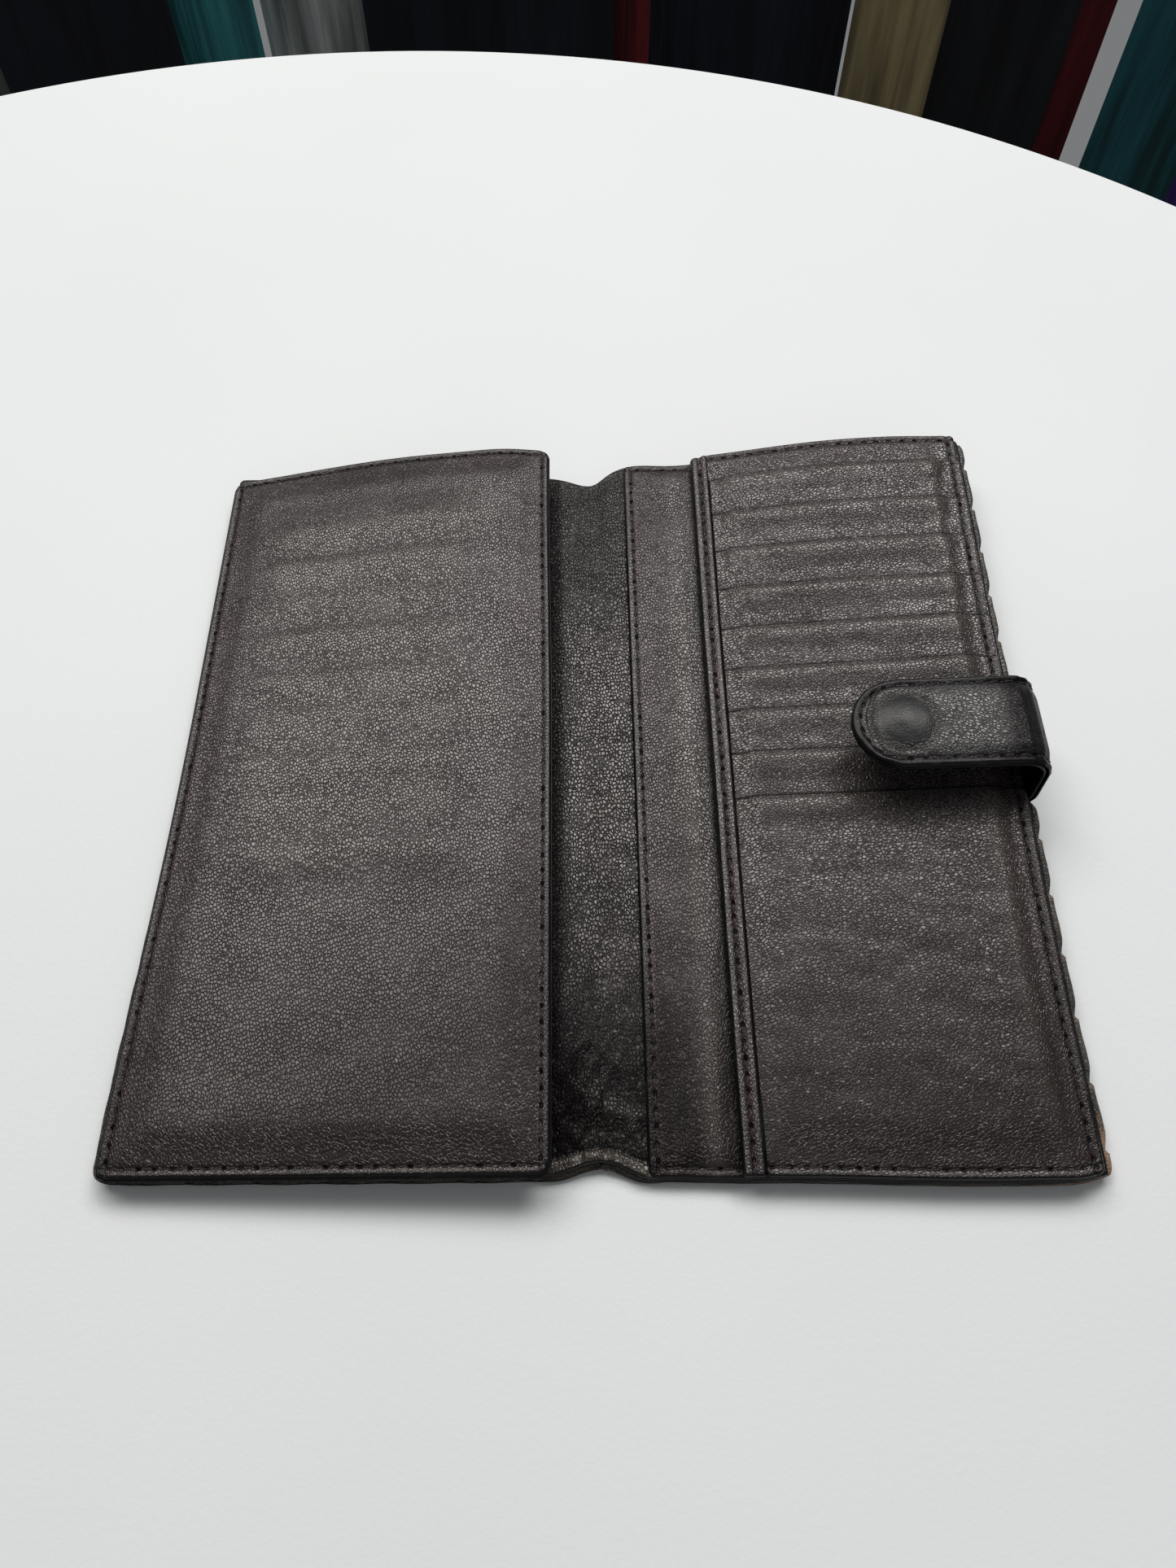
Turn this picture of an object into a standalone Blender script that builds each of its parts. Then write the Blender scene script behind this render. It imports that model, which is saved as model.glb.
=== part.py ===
"""Long wallet with a closing strap, lying open.

Frame: metres, +Z up. X runs across the open wallet, Y along its length. The origin is the
centre of the spine's underside, on the table. The right half is tilted up a little, because
the strap's root lies under it. Every piece is drawn in a flat layout, as if both halves and the
leaf lay level, and the empty that it is parented to turns it about its own hinge line.
"""

import math

import bmesh
import bpy
from mathutils import Matrix, Vector

MM = 0.001

# Outer size, across (X) and along (Y)
COVER_EDGE = 101.6 * MM  # from the spine's middle to a cover's long edge
COVER_LENGTH = 194.0 * MM
PANEL_LENGTH = 190.0 * MM
FOLD_SPACING = 16.6 * MM  # between the two fold lines at the spine
FOLD_HEIGHT = 2.0 * MM
RIGHT_TILT = math.radians(3.1)

# Layers, as (underside, thickness) above the covers' underside
COVER = (0.0, 1.4 * MM)
BOARD = (1.6 * MM, 0.3 * MM)
LINING = (2.1 * MM, 0.6 * MM)
BILL_PANEL = (2.9 * MM, 0.7 * MM)
CARD_BACK = (3.8 * MM, 0.5 * MM)
BORDER_STRIP = (4.5 * MM, 1.4 * MM)
FOLD_GAP = 0.15 * MM  # from a fold line to a cover or board
LINING_FOLD_GAP = 0.9 * MM
SPINE_HOLLOW = 3.0 * MM  # how far the spine's ends curve inwards

# Inner panels on the right half
PANEL_EDGE = 98.9 * MM
BILL_PANEL_START = 9.8 * MM
CARD_PANEL_START = 28.3 * MM
BORDER_WIDTH = 4.4 * MM

# Card slots, the same on the right half and under the leaf
SLOT_COUNT = 9
FIRST_MOUTH = 85.5 * MM
SLOT_PITCH = 12.12 * MM
PLY_TAIL = 18.5 * MM  # how far a ply runs from its mouth before the next ones hide it
PLY_GAP = 0.2 * MM
CARD_PLY = 0.4 * MM
LEAF_PLY = 0.3 * MM
FRONT_PLY_END = -93.5 * MM

# Leaf, which turns on the left cover's long edge
LEAF_HINGE = Vector((-100.7 * MM, 0.0, 3.3 * MM))
LEAF_TILT = math.radians(4.2)
LEAF_WIDTH = 90.8 * MM
LEAF_BACK = (0.1 * MM, 0.6 * MM)  # above the leaf's hinge line
LEAF_FACE = (0.9 * MM, 0.7 * MM)
LEAF_SLOTS = (12.0 * MM, 75.0 * MM)  # from the hinge line

# Strap, two plies of leather with a magnet between them near the tip
STRAP_WIDTH = 23.5 * MM
STRAP_PLY = 1.0 * MM
STRAP_PLY_GAP = 0.3 * MM
STRAP_CLEARANCE = 0.35 * MM  # under the cover
STRAP_START = 63.0 * MM
STRAP_TIP = 61.3 * MM
STRAP_SIDE = 104.6 * MM  # middle of the strap's upright stretch
STRAP_TOP = 17.9 * MM
LOWER_BEND = 4.0 * MM
UPPER_BEND = 6.0 * MM
STRAP_JOINT_GAP = 0.15 * MM
MAGNET_RADIUS = 5.5 * MM
MAGNET_THICKNESS = 1.2 * MM
MAGNET_CLEARANCE = 0.2 * MM
KEEPER_RADIUS = 6.0 * MM

# Seams
THREAD = 0.5 * MM
SEAM_INSET = 2.5 * MM
THREAD_LIFT = 0.2 * MM

COLOURS = {
    "woven_leather": ((0.040, 0.030, 0.020), 0.50),
    "smooth_leather": ((0.034, 0.020, 0.018), 0.42),
    "lining_leather": ((0.020, 0.012, 0.011), 0.38),
    "strap_leather": ((0.016, 0.013, 0.012), 0.35),
    "board": ((0.120, 0.090, 0.060), 0.85),
    "thread": ((0.024, 0.011, 0.010), 0.80),
    "steel": ((0.550, 0.550, 0.560), 0.30),
}


def clear_scene():
    for thing in list(bpy.data.objects):
        bpy.data.objects.remove(thing)


def new_collection(name):
    made = bpy.data.collections.new(name)
    bpy.context.scene.collection.children.link(made)
    return made


def make_material(name):
    colour, roughness = COLOURS[name]
    material = bpy.data.materials.new(name)
    material.use_nodes = True
    shader = material.node_tree.nodes["Principled BSDF"]
    shader.inputs["Base Color"].default_value = (*colour, 1.0)
    shader.inputs["Roughness"].default_value = roughness
    shader.inputs["Metallic"].default_value = 1.0 if name == "steel" else 0.0
    return material


def hinge_frame(name, place, tilt=0.0, parent=None):
    """An empty on a hinge line. What it carries is drawn level and turned by tilt about the line."""
    empty = bpy.data.objects.new(name, None)
    parts.objects.link(empty)
    empty.location = place
    empty.rotation_euler = (0.0, -tilt, 0.0)
    if parent is not None:
        empty.parent = parent
        empty.matrix_parent_inverse = Matrix.Translation(parent["place"]).inverted()
    empty["place"] = list(place)
    return empty


def add(name, data, material, frame, place=(0.0, 0.0, 0.0)):
    made = bpy.data.objects.new(name, data)
    data.materials.append(materials[material])
    parts.objects.link(made)
    made.location = place
    made.parent = frame
    made.matrix_parent_inverse = Matrix.Translation(frame["place"]).inverted()
    return made


def rounded_rectangle(x0, x1, y0, y1, radius, steps=3):
    """Corner points of a rectangle with round corners, anticlockwise."""
    centres = (
        (x1 - radius, y1 - radius, 0.0),
        (x0 + radius, y1 - radius, 90.0),
        (x0 + radius, y0 + radius, 180.0),
        (x1 - radius, y0 + radius, 270.0),
    )
    outline = []
    for x, y, start in centres:
        for step in range(steps + 1):
            turn = math.radians(start + 90.0 * step / steps)
            outline.append((x + radius * math.cos(turn), y + radius * math.sin(turn)))
    return outline


def hollow_ended(x0, x1, y_end, hollow, steps=8):
    """A strip whose two ends curve inwards."""
    across = [x0 + (x1 - x0) * step / steps for step in range(steps + 1)]
    dip = [hollow * math.sin(math.pi * step / steps) for step in range(steps + 1)]
    far = [(x, y_end - d) for x, d in zip(across, dip)]
    return [(x, -y) for x, y in far] + far[::-1]


def flat_piece(name, outline, layer, material, frame):
    """A flat sheet: a filled outline with a thickness."""
    underside, thickness = layer
    curve = bpy.data.curves.new(name, "CURVE")
    curve.dimensions = "2D"
    curve.fill_mode = "BOTH"
    curve.extrude = thickness / 2
    spline = curve.splines.new("POLY")
    spline.points.add(len(outline) - 1)
    for point, (x, y) in zip(spline.points, outline):
        point.co = (x, y, 0.0, 1.0)
    spline.use_cyclic_u = True
    return add(name, curve, material, frame, (0.0, 0.0, underside + thickness / 2))


def as_mesh(curve_object):
    """The same piece as a welded mesh, so that it can be cut."""
    bpy.context.view_layer.update()
    graph = bpy.context.evaluated_depsgraph_get()
    mesh = bpy.data.meshes.new_from_object(curve_object.evaluated_get(graph))
    shape = bmesh.new()
    shape.from_mesh(mesh)
    bmesh.ops.remove_doubles(shape, verts=shape.verts, dist=1e-6)
    shape.to_mesh(mesh)
    shape.free()
    name, frame = curve_object.name, curve_object.parent
    place = curve_object.location.copy()
    bpy.data.objects.remove(curve_object)
    made = bpy.data.objects.new(name, mesh)
    parts.objects.link(made)
    made.location = place
    made.parent = frame
    made.matrix_parent_inverse = Matrix.Translation(frame["place"]).inverted()
    return made


def ribbon(name, rails, thickness, material, frame):
    """A bent sheet: a surface between two rails, given a thickness about its middle."""
    mesh = bpy.data.meshes.new(name)
    shape = bmesh.new()
    rows = [[shape.verts.new(point) for point in pair] for pair in rails]
    for first, second in zip(rows, rows[1:]):
        shape.faces.new((first[0], first[1], second[1], second[0]))
    shape.to_mesh(mesh)
    shape.free()
    made = add(name, mesh, material, frame)
    solid = made.modifiers.new("Thickness", "SOLIDIFY")
    solid.thickness = thickness
    solid.offset = 0.0
    solid.use_even_offset = True
    return made


def disc_mesh(name, radius, height):
    mesh = bpy.data.meshes.new(name)
    shape = bmesh.new()
    bmesh.ops.create_cone(
        shape, cap_ends=True, segments=32, radius1=radius, radius2=radius, depth=height
    )
    shape.to_mesh(mesh)
    shape.free()
    return mesh


def disc(name, radius, height, place, material, frame):
    return add(name, disc_mesh(name, radius, height), material, frame, place)


def round_cut(target, radius, height, place):
    """Cuts a round pocket, with a cutter in the collection of cutters."""
    cutter = bpy.data.objects.new(target.name + "_cutter", disc_mesh("cutter", radius, height))
    cutters.objects.link(cutter)
    cutter.location = place
    cutter.parent = target.parent
    cutter.matrix_parent_inverse = Matrix.Translation(target.parent["place"]).inverted()
    cutter.hide_render = True
    cutter.display_type = "WIRE"
    cut = target.modifiers.new("Pocket", "BOOLEAN")
    cut.operation = "DIFFERENCE"
    cut.solver = "EXACT"
    cut.object = cutter


def seam(name, points, frame, closed=False):
    """A row of stitches, as one thin thread."""
    curve = bpy.data.curves.new(name, "CURVE")
    curve.dimensions = "3D"
    curve.bevel_depth = THREAD / 2
    curve.bevel_resolution = 1
    curve.use_fill_caps = True
    spline = curve.splines.new("POLY")
    spline.points.add(len(points) - 1)
    for point, place in zip(spline.points, points):
        point.co = (*place, 1.0)
    spline.use_cyclic_u = closed
    return add(name, curve, "thread", frame)


def top(layer):
    return layer[0] + layer[1]


def mouth_of(number):
    return FIRST_MOUTH - SLOT_PITCH * number


def ply_profile(number, ply):
    """(y, height) along the middle of a slot's ply, from its mouth to its tail."""
    rise = (ply + PLY_GAP) / SLOT_PITCH
    low = PLY_GAP + ply / 2
    mouth = mouth_of(number)
    profile = [(mouth, low + rise * PLY_TAIL), (mouth - PLY_TAIL, low)]
    if number == SLOT_COUNT - 1:
        profile.append((FRONT_PLY_END, low))
    return profile


def card_slots(prefix, across, base, ply, up, frame):
    """The overlapping plies of the card slots, on the base height, facing up or down."""
    for number in range(SLOT_COUNT):
        rails = [
            [Vector((x, y, base + up * height)) for x in across]
            for y, height in ply_profile(number, ply)
        ]
        ribbon(f"{prefix}_{number + 1}", rails, ply, "smooth_leather", frame)


def half(prefix, side, frame):
    """Woven cover, stiffening board and lining of one half. side is 1 on the right."""
    fold = FOLD_SPACING / 2
    y = COVER_LENGTH / 2
    spans = {
        "cover": (fold + FOLD_GAP, COVER_EDGE, y, COVER, "woven_leather"),
        "board": (fold + 4 * MM, COVER_EDGE - 3 * MM, y - 4 * MM, BOARD, "board"),
        "lining": (fold + LINING_FOLD_GAP, COVER_EDGE - 1 * MM, y - 1 * MM, LINING, "lining_leather"),
    }
    made = {}
    for name, (inner, outer, end, layer, material) in spans.items():
        x0, x1 = sorted((side * inner, side * outer))
        outline = rounded_rectangle(x0, x1, -end, end, 1.5 * MM)
        made[name] = flat_piece(f"{prefix}_{name}", outline, layer, material, frame)
    return made


def spine(frame):
    fold = FOLD_SPACING / 2
    y = COVER_LENGTH / 2
    cover = hollow_ended(-fold + FOLD_GAP, fold - FOLD_GAP, y, SPINE_HOLLOW)
    flat_piece("spine_cover", cover, COVER, "woven_leather", frame)
    edge = fold - LINING_FOLD_GAP
    lining = hollow_ended(-edge, edge, y - 1 * MM, SPINE_HOLLOW)
    flat_piece("spine_lining", lining, LINING, "lining_leather", frame)


def right_half(frame):
    half("right", 1, frame)
    y = PANEL_LENGTH / 2
    bill = rounded_rectangle(BILL_PANEL_START, PANEL_EDGE, -y, y, 1.5 * MM)
    flat_piece("bill_pocket_panel", bill, BILL_PANEL, "smooth_leather", frame)
    back = rounded_rectangle(CARD_PANEL_START, PANEL_EDGE, -y, y, 1.5 * MM)
    flat_piece("card_panel_back", back, CARD_BACK, "smooth_leather", frame)
    border_end = CARD_PANEL_START + BORDER_WIDTH
    border = rounded_rectangle(CARD_PANEL_START, border_end, -y, y, 0.8 * MM)
    flat_piece("card_border_strip", border, BORDER_STRIP, "smooth_leather", frame)
    across = (border_end + 0.4 * MM, PANEL_EDGE - 0.4 * MM)
    card_slots("card_slot", across, top(CARD_BACK), CARD_PLY, 1, frame)
    right_seams(frame)


def right_seams(frame):
    lift = THREAD_LIFT + THREAD / 2
    y = PANEL_LENGTH / 2 - SEAM_INSET
    x = BILL_PANEL_START + SEAM_INSET
    z = top(BILL_PANEL) + lift
    seam("bill_pocket_seam", [(x, -y, z), (x, y, z)], frame)
    x = CARD_PANEL_START + BORDER_WIDTH / 2
    z = top(BORDER_STRIP) + lift
    seam("border_strip_seam", [(x, -y, z), (x, y, z)], frame)
    left = CARD_PANEL_START + BORDER_WIDTH + 1.5 * MM
    right = PANEL_EDGE - SEAM_INSET
    highest = top(CARD_BACK) + ply_profile(0, CARD_PLY)[0][1] + CARD_PLY / 2 + lift
    front = ply_profile(SLOT_COUNT - 1, CARD_PLY)
    level = top(CARD_BACK) + front[-1][1] + CARD_PLY / 2 + lift
    points = [
        (left, y, top(CARD_BACK) + lift),
        (right, y, top(CARD_BACK) + lift),
        (right, FIRST_MOUTH + 1 * MM, highest),
        (right, front[0][0], highest),
        (right, front[1][0], level),
        (right, -y, level),
        (left, -y, level),
    ]
    seam("card_panel_seam", points, frame)


def left_half(frame):
    made = half("left", -1, frame)
    keeper_x = -(STRAP_TIP + STRAP_WIDTH / 2)
    middle = BOARD[0] + BOARD[1] / 2
    board = as_mesh(made["board"])
    round_cut(board, KEEPER_RADIUS + MAGNET_CLEARANCE, 1 * MM, (keeper_x, 0.0, middle))
    disc("closure_keeper", KEEPER_RADIUS, BOARD[1], (keeper_x, 0.0, middle), "steel", frame)


def leaf(frame):
    x, y, z = LEAF_HINGE
    end = PANEL_LENGTH / 2
    outline = rounded_rectangle(x + 0.2 * MM, x + LEAF_WIDTH, -end, end, 2.5 * MM)
    face = (z + LEAF_FACE[0], LEAF_FACE[1])
    back = (z + LEAF_BACK[0], LEAF_BACK[1])
    flat_piece("leaf_face", outline, face, "smooth_leather", frame)
    flat_piece("leaf_back", outline, back, "lining_leather", frame)
    across = [x + distance for distance in LEAF_SLOTS]
    card_slots("leaf_slot", across, back[0], LEAF_PLY, -1, frame)
    height = top(face) + THREAD_LIFT + THREAD / 2
    loop = rounded_rectangle(
        x + SEAM_INSET, x + LEAF_WIDTH - SEAM_INSET, SEAM_INSET - end, end - SEAM_INSET, 1.5 * MM
    )
    seam("leaf_seam", [(a, b, height) for a, b in loop], frame, closed=True)


def arc(centre, radius, start, end, steps=3):
    """Points (x, z) of an arc between two angles in degrees."""
    turns = [math.radians(start + (end - start) * step / steps) for step in range(steps + 1)]
    return [(centre[0] + radius * math.cos(t), centre[1] + radius * math.sin(t)) for t in turns]


def strap_bend(which):
    """(centre, middle radius) of the lower or the upper bend."""
    root_level = -(STRAP_CLEARANCE + STRAP_PLY + STRAP_PLY_GAP / 2)
    if which == "lower":
        return (STRAP_SIDE - LOWER_BEND, root_level + LOWER_BEND), LOWER_BEND
    return (STRAP_SIDE - UPPER_BEND, STRAP_TOP - UPPER_BEND), UPPER_BEND


def strap_joint(which):
    """Where the strap turns: on its outer face, in the middle of a bend."""
    centre, radius = strap_bend(which)
    outer = radius + STRAP_PLY + STRAP_PLY_GAP / 2
    turn = math.radians(-45.0 if which == "lower" else 45.0)
    return Vector((centre[0] + outer * math.cos(turn), 0.0, centre[1] + outer * math.sin(turn)))


def strap_sections(offset):
    """The strap's three stretches, as (x, z) points at an offset outwards from its middle."""
    lower, lower_radius = strap_bend("lower")
    upper, upper_radius = strap_bend("upper")
    r1, r2 = lower_radius + offset, upper_radius + offset
    gap1 = math.degrees(STRAP_JOINT_GAP / r1)
    gap2 = math.degrees(STRAP_JOINT_GAP / r2)
    root = [(STRAP_START, lower[1] - r1)] + arc(lower, r1, -90.0, -45.0 - gap1)
    bend = arc(lower, r1, -45.0 + gap1, 0.0) + arc(upper, r2, 0.0, 45.0 - gap2)
    tab = arc(upper, r2, 45.0 + gap2, 90.0)
    level = upper[1] + r2
    half_width = STRAP_WIDTH / 2
    for step in range(9):
        turn = math.radians(80.0 * step / 8)
        tab.append((STRAP_TIP + half_width * (1 - math.sin(turn)), level))
    return {"root": root, "bend": bend, "tab": tab}


def strap_rails(points):
    """Rails either side of the strap, drawing together round the tip."""
    half_width = STRAP_WIDTH / 2
    rails = []
    for x, z in points:
        into_tip = min(1.0, max(0.0, 1.0 - (x - STRAP_TIP) / half_width))
        reach = half_width * math.sqrt(1.0 - into_tip**2)
        rails.append([Vector((x, -reach, z)), Vector((x, reach, z))])
    return rails


def strap(root_frame, bend_frame, tab_frame):
    frames = {"root": root_frame, "bend": bend_frame, "tab": tab_frame}
    ply_offset = (STRAP_PLY + STRAP_PLY_GAP) / 2
    magnet_place = (STRAP_TIP + STRAP_WIDTH / 2, 0.0, STRAP_TOP)
    pocket = MAGNET_THICKNESS + 2 * MAGNET_CLEARANCE
    for ply, offset, material in (
        ("outer", ply_offset, "strap_leather"),
        ("lining", -ply_offset, "lining_leather"),
    ):
        for section, points in strap_sections(offset).items():
            whole = strap_rails(points) if section == "tab" else [
                [Vector((x, -STRAP_WIDTH / 2, z)), Vector((x, STRAP_WIDTH / 2, z))]
                for x, z in points
            ]
            made = ribbon(f"strap_{ply}_{section}", whole, STRAP_PLY, material, frames[section])
            if section == "tab":
                round_cut(made, MAGNET_RADIUS + MAGNET_CLEARANCE, pocket, magnet_place)
    disc("strap_magnet", MAGNET_RADIUS, MAGNET_THICKNESS, magnet_place, "steel", tab_frame)
    strap_seam(tab_frame)


def strap_seam(frame):
    height = STRAP_TOP + STRAP_PLY_GAP / 2 + STRAP_PLY + THREAD_LIFT + THREAD / 2
    centre = STRAP_TIP + STRAP_WIDTH / 2
    reach = STRAP_WIDTH / 2 - SEAM_INSET
    end = strap_bend("upper")[0][0]
    points = [(end, reach, height)]
    for step in range(9):
        turn = math.radians(90.0 + 180.0 * step / 8)
        points.append((centre + reach * math.cos(turn), reach * math.sin(turn), height))
    points.append((end, -reach, height))
    seam("strap_seam", points, frame)


def build():
    fold = FOLD_SPACING / 2
    right_fold = Vector((fold, 0.0, FOLD_HEIGHT))
    right_frame = hinge_frame("right_frame", right_fold, RIGHT_TILT)
    spine_frame = hinge_frame("spine_frame", right_fold)
    left_frame = hinge_frame("left_frame", Vector((-fold, 0.0, FOLD_HEIGHT)))
    leaf_frame = hinge_frame("leaf_frame", LEAF_HINGE, LEAF_TILT)
    bend_frame = hinge_frame("strap_bend_frame", strap_joint("lower"), parent=right_frame)
    tab_frame = hinge_frame("strap_tab_frame", strap_joint("upper"), parent=right_frame)
    right_half(right_frame)
    spine(spine_frame)
    left_half(left_frame)
    leaf(leaf_frame)
    strap(right_frame, bend_frame, tab_frame)


clear_scene()
parts = new_collection("long_wallet")
cutters = new_collection("cutters")
materials = {name: make_material(name) for name in COLOURS}
build()
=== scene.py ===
"""The looks of a long wallet that lies open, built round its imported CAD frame.

Sizes are in millimetres and use the flat layout that the wallet was drawn in: x across the spine, y along it,
z up. Each half, the leaf and the strap have a function that puts flat points where they lie, in metres.
"""

import math

import bpy
import numpy as np
from mathutils import Matrix, Vector


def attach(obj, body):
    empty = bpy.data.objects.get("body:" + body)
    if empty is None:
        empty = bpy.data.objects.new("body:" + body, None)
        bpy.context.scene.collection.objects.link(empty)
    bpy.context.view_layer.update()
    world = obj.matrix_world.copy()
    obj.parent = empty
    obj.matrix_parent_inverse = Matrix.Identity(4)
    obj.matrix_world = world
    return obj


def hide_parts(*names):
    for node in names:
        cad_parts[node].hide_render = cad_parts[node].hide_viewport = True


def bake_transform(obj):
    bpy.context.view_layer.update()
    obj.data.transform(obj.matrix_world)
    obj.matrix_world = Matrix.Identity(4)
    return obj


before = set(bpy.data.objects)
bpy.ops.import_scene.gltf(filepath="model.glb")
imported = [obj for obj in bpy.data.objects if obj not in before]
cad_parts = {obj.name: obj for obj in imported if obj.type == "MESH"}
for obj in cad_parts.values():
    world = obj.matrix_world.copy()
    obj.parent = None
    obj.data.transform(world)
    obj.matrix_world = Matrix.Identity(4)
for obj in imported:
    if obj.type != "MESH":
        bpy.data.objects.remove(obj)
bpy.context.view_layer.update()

MM = 0.001
FOLD_X, FOLD_Z = 8.3, 2.0  # the two fold lines beside the spine
RIGHT_TILT = 3.1  # degrees that the right half stands up from the table
LEAF_X, LEAF_Z = -100.7, 3.3  # the leaf's hinge line
LEAF_TILT = 4.2
COVER_EDGE, COVER_END = 101.6, 97.0
LINING_EDGE, LINING_END = 100.6, 96.0
PANEL_EDGE, PANEL_END = 98.9, 95.0
BILL_START = 9.8
CARD_START = 28.3
BORDER_END = 32.7
SLOTS_START = 33.1
SLOT_COUNT, FIRST_MOUTH, SLOT_PITCH, PLY_TAIL = 9, 85.5, 12.12, 18.5
LEAF_END = -9.9
LEAF_SLOTS = (-88.7, -25.7)
LEAF_START = LEAF_X + 0.2
LEAF_UNDER = 3.4  # the level that the leaf's slots hang from
HINGE_LOW = 2.93  # the level of the hinge strip's lower leg
# Levels of the top faces.
COVER_TOP, LINING_TOP, BILL_TOP, LEAF_TOP = 1.4, 2.7, 3.6, 4.9
BACK_TOP, CARD_TOP, BORDER_TOP = 5.5, 5.82, 5.86

SEAM_INSET = 1.8  # how far a stitched line is from its edge
SEAM_END = PANEL_END - SEAM_INSET
BILL_SEAM, CARD_SEAM, BORDER_SEAM = BILL_START + SEAM_INSET, PANEL_EDGE - SEAM_INSET, CARD_START + 2.2
LEAF_SEAMS = (LEAF_START + SEAM_INSET, LEAF_END - SEAM_INSET)
SEAM_REACH = 2.0  # how far from a stitched line its marks are known
HOLE_LENGTH, HOLE_WIDTH = 0.70, 0.36  # a stitch hole
STRAP_HALF = 11.75  # half of the strap's width
STITCH_PITCH = 3.4
HOLLOW_NEAR, HOLLOW_FAR = 2.9, 3.2  # how far the spine's ends curve inwards
WEAVE = 9.6  # width of a woven strip
WEAVE_STEP = WEAVE * math.sqrt(2)  # from one strip to the next along an edge
GRID = WEAVE_STEP / 18  # a grid step that the weave's lines fall on

# How close the grid lines are to an edge, from the edge inwards.
EDGE_LINES = (0, 0.12, 0.28, 0.5, 0.8, 1.15, 1.5, 1.85, 2.2, 2.5, 2.8, 3.15, 3.6, 4.2, 5.0)
PLAIN_LINES = (0, 0.15, 0.4, 0.8)
EDGE_ROWS = (0.25, 0.5, 0.75)  # the rows of points on an edge, as shares of the way from top to bottom


# --- numbers


def smooth(start, end, value):
    """0 before start and 1 past end, with a soft change between. start may be the larger."""
    t = np.clip((value - start) / (end - start), 0.0, 1.0)
    return t * t * (3 - 2 * t)


def hill(value, centre, width):
    return np.exp(-(((value - centre) / width) ** 2))


def noise(x, y, size, seed):
    """Smooth noise between -1 and 1 with features about size across. size may be (along x, along y)."""
    size = size if isinstance(size, tuple) else (size, size)
    table = np.random.default_rng(seed).uniform(-1, 1, (64, 64))
    u, v = x / size[0] + 31.4, y / size[1] + 27.1
    i, j = np.floor(u).astype(int), np.floor(v).astype(int)
    a, b = smooth(0, 1, u - i), smooth(0, 1, v - j)

    def at(k, m):
        return table[k % 64, m % 64]

    low = at(i, j) * (1 - a) + at(i + 1, j) * a
    high = at(i, j + 1) * (1 - a) + at(i + 1, j + 1) * a
    return low * (1 - b) + high * b


def creases(x, y, size, seed):
    """Sharp-topped folds between 0 and 1."""
    return (1 - np.abs(noise(x, y, size, seed))) ** 3


def grid_lines(start, end, step, first=EDGE_LINES, last=EDGE_LINES, extra=()):
    """Grid positions from start to end: close together at the ends, as first and last say, and step apart
    between. extra gives (from, to, step) of finer stretches."""
    low, high = start + first[-1], end - last[-1]
    count = max(2, int(math.ceil((high - low) / step)) + 1)
    found = [start + d for d in first[:-1]]
    found += list(np.linspace(low, high, count)) + [end - d for d in last[-2::-1]]
    for low, high, finer in extra:
        found += list(np.arange(low, high, finer))
    found = np.unique(np.round(found, 3))
    return found[np.concatenate([[True], np.diff(found) > 0.08])]


# --- where flat points lie


def turned(points, pivot_x, pivot_z, degrees):
    """Points tilted up about a line along y."""
    c, s = math.cos(math.radians(degrees)), math.sin(math.radians(degrees))
    dx, dz = points[:, 0] - pivot_x, points[:, 2] - pivot_z
    return np.stack([pivot_x + dx * c - dz * s, points[:, 1], pivot_z + dx * s + dz * c], 1)


def hollowed(x, y, end):
    """y with the spine's ends drawn inwards."""
    depth = np.where(y < 0, HOLLOW_NEAR, HOLLOW_FAR)
    return y - np.sign(y) * depth * hill(x, 0.0, 7.5) * np.abs(y / end) ** 5


def spine_lift(x, y):
    """The spine's near end stands a little off the table."""
    return 0.7 * hill(x, 0.5, 7.0) * smooth(-72, -97, y)


def right_curl(x, y):
    """The right half is twisted: its far corner is up, its near corner is down, and its far end bows."""
    across = np.clip((x - FOLD_X) / 90.4, 0.0, None)
    twist = across * y / 95 * np.where(y > 0, 4.6, 4.0)
    bow = (1.3 * hill(x, 12, 10) + 2.2 * hill(x, 64, 34)) * smooth(0, 5, x)
    return twist + bow * smooth(25, 95, y) + 1.1 * across * hill(y, 5, 45)


def right_plan(x, y):
    """How the right half's outline is pulled out of square."""
    across = np.clip((x - FOLD_X) / 93.0, 0.0, None)
    at_strap = smooth(STRAP_HALF + 3.5, STRAP_HALF + 0.5, np.abs(y)) * smooth(100.0, 101.0, x)
    wider = 1.7 - 0.5 * smooth(-95, -60, y) + 0.35 * smooth(-40, 0, y) + 0.6 * smooth(30, 80, y)
    wider = wider * across * (1 - at_strap) + 0.2 * at_strap
    far = 2.6 * smooth(0, 8, x) - 0.8 * smooth(10, 24, x) + 1.0 * smooth(28, 34, x)
    far = far + 0.7 * smooth(34, 70, x) - 0.8 * smooth(80, 99, x)
    near = 1.3 * smooth(2, 12, x) + 0.5 * smooth(12, 30, x) + 1.2 * smooth(30, 80, x)
    near = near - 1.3 * smooth(93, 101.5, x)
    rim = 0.8 * smooth(4, 14, x) * np.clip(-PANEL_END - y, 0, None)
    return x + wider, y + far * smooth(10, 95, y) - near * smooth(-20, -95, y) + rim


def left_curl(x, y):
    across = np.clip((-FOLD_X - x) / 92.4, 0.0, None)
    return 2.2 * across**2 * smooth(-10, -97, y)


def left_plan(x, y):
    across = np.clip((-FOLD_X - x) / 93.0, 0.0, None)
    rim = 0.35 * smooth(4, 14, -x) * np.clip(-PANEL_END - y, 0, None)
    return x + across * (1.6 - 2.4 * smooth(20, -100, y)), y + rim


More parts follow.
